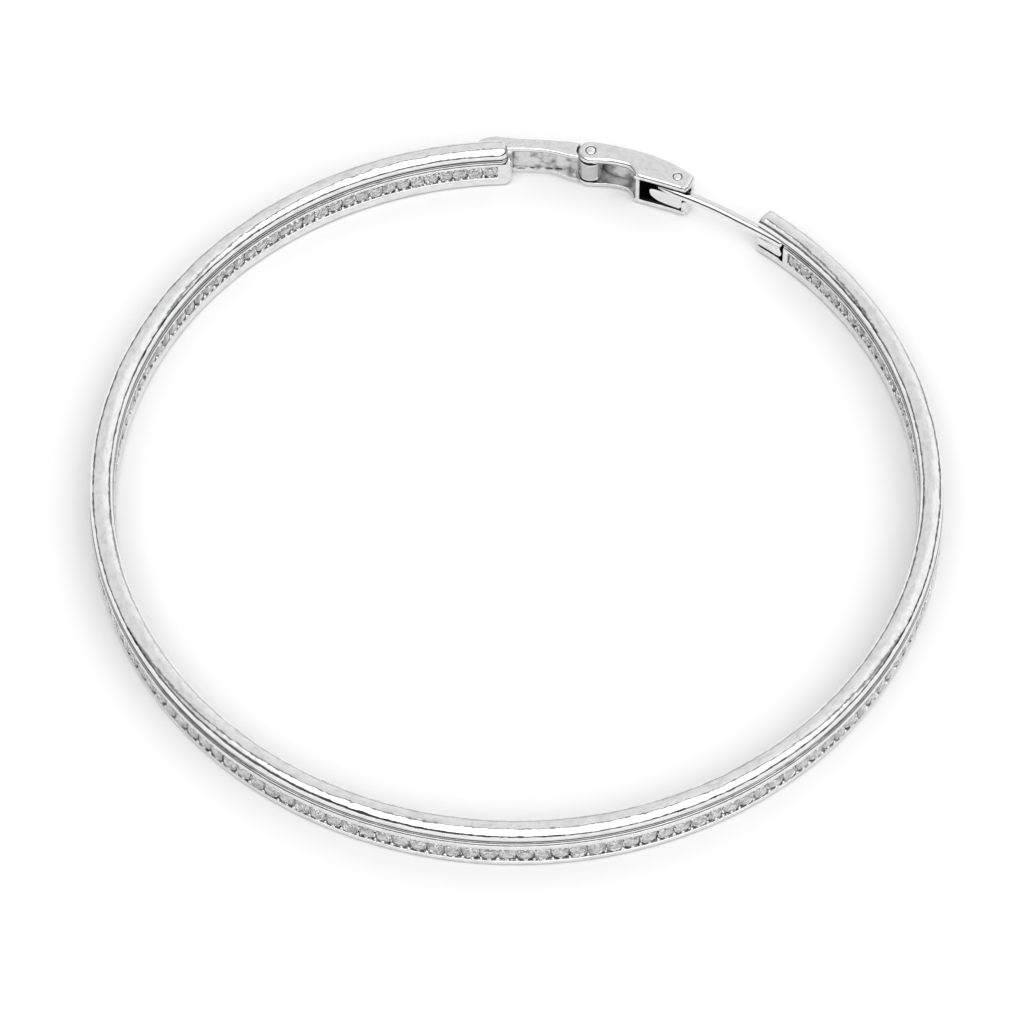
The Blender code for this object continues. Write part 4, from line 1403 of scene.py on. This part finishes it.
def build_surround(sizes):
    """A pale surround with a white screen above the front and a dark horizon."""
    world = bpy.data.worlds.new("Surround")
    bpy.context.scene.world = world
    world.use_nodes = True
    tree = world.node_tree
    background = tree.nodes["Background"]
    background.inputs["Color"].default_value = (1.0, 1.0, 1.0, 1.0)
    place = add_node(tree, "ShaderNodeTexCoord")
    smooth = {"interpolation_type": "SMOOTHSTEP"}
    axes = add_node(tree, "ShaderNodeSeparateXYZ")
    wire_up(tree, [(place, "Generated", axes, 0)])

    def facing(direction, low, high, before, after):
        """Value that changes from before to after where the view turns to a direction."""
        turned_to = add_node(tree, "ShaderNodeVectorMath", {"operation": "DOT_PRODUCT"})
        turned_to.inputs[1].default_value = Vector(direction).normalized()
        share = add_node(tree, "ShaderNodeMapRange", smooth, From_Min=low, From_Max=high,
                         To_Min=before, To_Max=after)
        wire_up(tree, [(place, "Generated", turned_to, 0), (turned_to, "Value", share, "Value")])
        return share

    def chain(operation, first, second):
        """Maths on two nodes' values, or on a node's value and a number."""
        node = add_node(tree, "ShaderNodeMath", {"operation": operation})
        wire_up(tree, [(first, 0, node, 0)])
        if isinstance(second, float):
            node.inputs[1].default_value = second
        else:
            wire_up(tree, [(second, 0, node, 1)])
        return node

    # The screen fills the front half alone
    near = add_node(tree, "ShaderNodeMapRange", smooth, From_Min=-0.05, From_Max=0.03,
                    To_Min=1.0, To_Max=0.0)
    wire_up(tree, [(axes, "Y", near, "Value")])
    screen = facing(*FRONT_SCREEN, 0.0, sizes.screen - sizes.sky)
    screen = chain("MULTIPLY", screen, near)
    left = facing(*LEFT_SIDE)
    right = facing(*RIGHT_SIDE)
    dark = facing(*DARK_HORIZON)
    back = facing(*LIGHT_HORIZON)
    tall = facing(*TALL_HORIZON)
    # The dark horizon is a low band, which stands taller at the left front
    level = maths(tree, "SUBTRACT")
    wire_up(tree, [(axes, "Z", level, 0), (tall, 0, level, 1)])
    rise = add_node(tree, "ShaderNodeMapRange", smooth, From_Min=0.2, From_Max=0.36)
    band = add_node(tree, "ShaderNodeMix", {"data_type": "FLOAT"}, B=1.0)
    horizon = chain("ADD", dark, back)
    wire_up(tree, [(level, 0, rise, "Value"), (rise, 0, band, "Factor"),
                   (horizon, 0, band, "A")])
    # A narrow, dim seam overhead, which the cap mirrors as a thin line
    overhead = maths(tree, "ADD", -0.05)
    off_seam = maths(tree, "ABSOLUTE")
    seam = add_node(tree, "ShaderNodeMapRange", smooth, From_Min=0.045, From_Max=0.1,
                    To_Min=0.35, To_Max=1.0)
    wire_up(tree, [(axes, "Y", overhead, 0), (overhead, 0, off_seam, 0),
                   (off_seam, 0, seam, "Value")])
    surround = chain("MULTIPLY", chain("MULTIPLY", left, right), sizes.sky)
    lit = chain("MULTIPLY", chain("MULTIPLY", chain("ADD", surround, screen), band), seam)
    wire_up(tree, [(lit, 0, background, "Strength")])


def place_camera(sizes):
    """The camera at the photograph's angle, aimed at the ring's middle."""
    lean = Matrix.Rotation(pi / 2 - sizes.elevation, 3, "X")
    target = lean @ Vector((sizes.target_right, sizes.target_up, 0.0))
    data = bpy.data.cameras.new("camera")
    data.sensor_width = 36.0
    data.lens = data.sensor_width * sizes.distance / sizes.view_width
    data.clip_start = 0.01
    data.clip_end = 10.0
    camera = new_object("camera", data)
    place = target + lean @ Vector((0.0, 0.0, sizes.distance))
    camera.matrix_world = Matrix.Translation(place) @ lean.to_4x4()
    bpy.context.scene.camera = camera


# Operators


class EARRING_OT_ring(Operator):
    """Build the polished ring and its catch tongue"""

    bl_idname = "earring.ring"
    bl_label = "Ring"

    def execute(self, context):
        dress(build_ring(context.scene.earring_ring), "Polished metal", "ring",
              "polished_metal", "hoop")
        dress(build_tongue(), "Polished metal", "ring", "polished_metal", "hoop")
        return {"FINISHED"}


class EARRING_OT_stones(Operator):
    """Set the two rows of cut stones, and the beads that hold them"""

    bl_idname = "earring.stones"
    bl_label = "Stones"

    def execute(self, context):
        sizes = context.scene.earring_stones
        for word, side, channel, count in (
                ("outer", 1, OUTER_CHANNEL, OUTER_STONES),
                ("inner", -1, INNER_CHANNEL, INNER_STONES)):
            row = build_stones(f"{word}_row", side, channel, count, sizes)
            dress(row, "Clear stone", "ring", "clear_stone", f"{word}_stones")
            for place, upper in (("lower", False), ("upper", True)):
                beads = build_beads(f"{word}_{place}_beads", side, channel, count, upper,
                                    sizes)
                dress(beads, "Polished metal", "ring", "polished_metal", "hoop")
        return {"FINISHED"}


class EARRING_OT_clasp(Operator):
    """Build the cast hinge bracket and link"""

    bl_idname = "earring.clasp"
    bl_label = "Bracket and link"

    def execute(self, context):
        sizes = context.scene.earring_clasp
        dress(build_bracket(sizes), "Cast metal", "ring", "polished_metal", "hoop")
        dress(build_link(sizes), "Cast metal", "link", "cast_metal", "hinge_link")
        return {"FINISHED"}


class EARRING_OT_pins(Operator):
    """Build the two rivet pins"""

    bl_idname = "earring.pins"
    bl_label = "Pins"

    def execute(self, context):
        rise = context.scene.earring_clasp.head_rise
        knuckle = build_pin("knuckle_rivet", "knuckle_pin", KNUCKLE_AXIS,
                            KNUCKLE_PIN_RADIUS, rise)
        post = build_pin("post_rivet", "post_pin", POST_PIN_AXIS, POST_PIN_RADIUS, rise)
        dress(knuckle, "Drawn wire", "link", "drawn_metal", "knuckle_pin")
        dress(post, "Drawn wire", "link", "drawn_metal", "post_pin")
        return {"FINISHED"}


class EARRING_OT_post(Operator):
    """Build the ear post"""

    bl_idname = "earring.post"
    bl_label = "Ear post"

    def execute(self, context):
        dress(build_post(), "Drawn wire", "post", "drawn_metal", "ear_post")
        return {"FINISHED"}


class EARRING_OT_stage(Operator):
    """Set up the floor, the light and the camera"""

    bl_idname = "earring.stage"
    bl_label = "Stage"

    def execute(self, context):
        sizes = context.scene.earring_stage
        build_floor(context.scene.earring_finishes.floor)
        build_surround(sizes)
        place_camera(sizes)
        context.scene.view_settings.view_transform = "Standard"
        return {"FINISHED"}


class EARRING_PT_panel(Panel):
    """The earring's pieces and their sizes"""

    bl_idname = "EARRING_PT_panel"
    bl_label = "Hoop earring"
    bl_space_type = "VIEW_3D"
    bl_region_type = "UI"
    bl_category = "Earring"

    def draw(self, context):
        for group_name in GROUPS:
            box = self.layout.box()
            group = getattr(context.scene, group_name)
            for name in group.__annotations__:
                box.prop(group, name)
            for owner, operator in STEPS:
                if owner == group_name:
                    box.operator(operator)


GROUPS = {
    "earring_ring": RingSizes,
    "earring_stones": StoneSizes,
    "earring_clasp": ClaspSizes,
    "earring_finishes": Finishes,
    "earring_stage": StageSizes,
}

# Steps in order: the group whose sizes a step reads, and its operator
STEPS = (
    ("earring_ring", "earring.ring"),
    ("earring_stones", "earring.stones"),
    ("earring_clasp", "earring.clasp"),
    ("earring_clasp", "earring.pins"),
    ("earring_clasp", "earring.post"),
    ("earring_stage", "earring.stage"),
)

CLASSES = (
    *GROUPS.values(),
    EARRING_OT_ring,
    EARRING_OT_stones,
    EARRING_OT_clasp,
    EARRING_OT_pins,
    EARRING_OT_post,
    EARRING_OT_stage,
    EARRING_PT_panel,
)


def register():
    """Register the classes, and the settings that they share."""
    for kind in CLASSES:
        bpy.utils.register_class(kind)
    for name, group in GROUPS.items():
        setattr(bpy.types.Scene, name, PointerProperty(type=group))


def unregister():
    """Take the settings and the classes away again."""
    for name in GROUPS:
        delattr(bpy.types.Scene, name)
    for kind in reversed(CLASSES):
        bpy.utils.unregister_class(kind)


def main():
    """Build every piece and the stage."""
    register()
    for _group, operator in STEPS:
        family, action = operator.split(".")
        getattr(getattr(bpy.ops, family), action)()


if __name__ == "__main__":
    main()
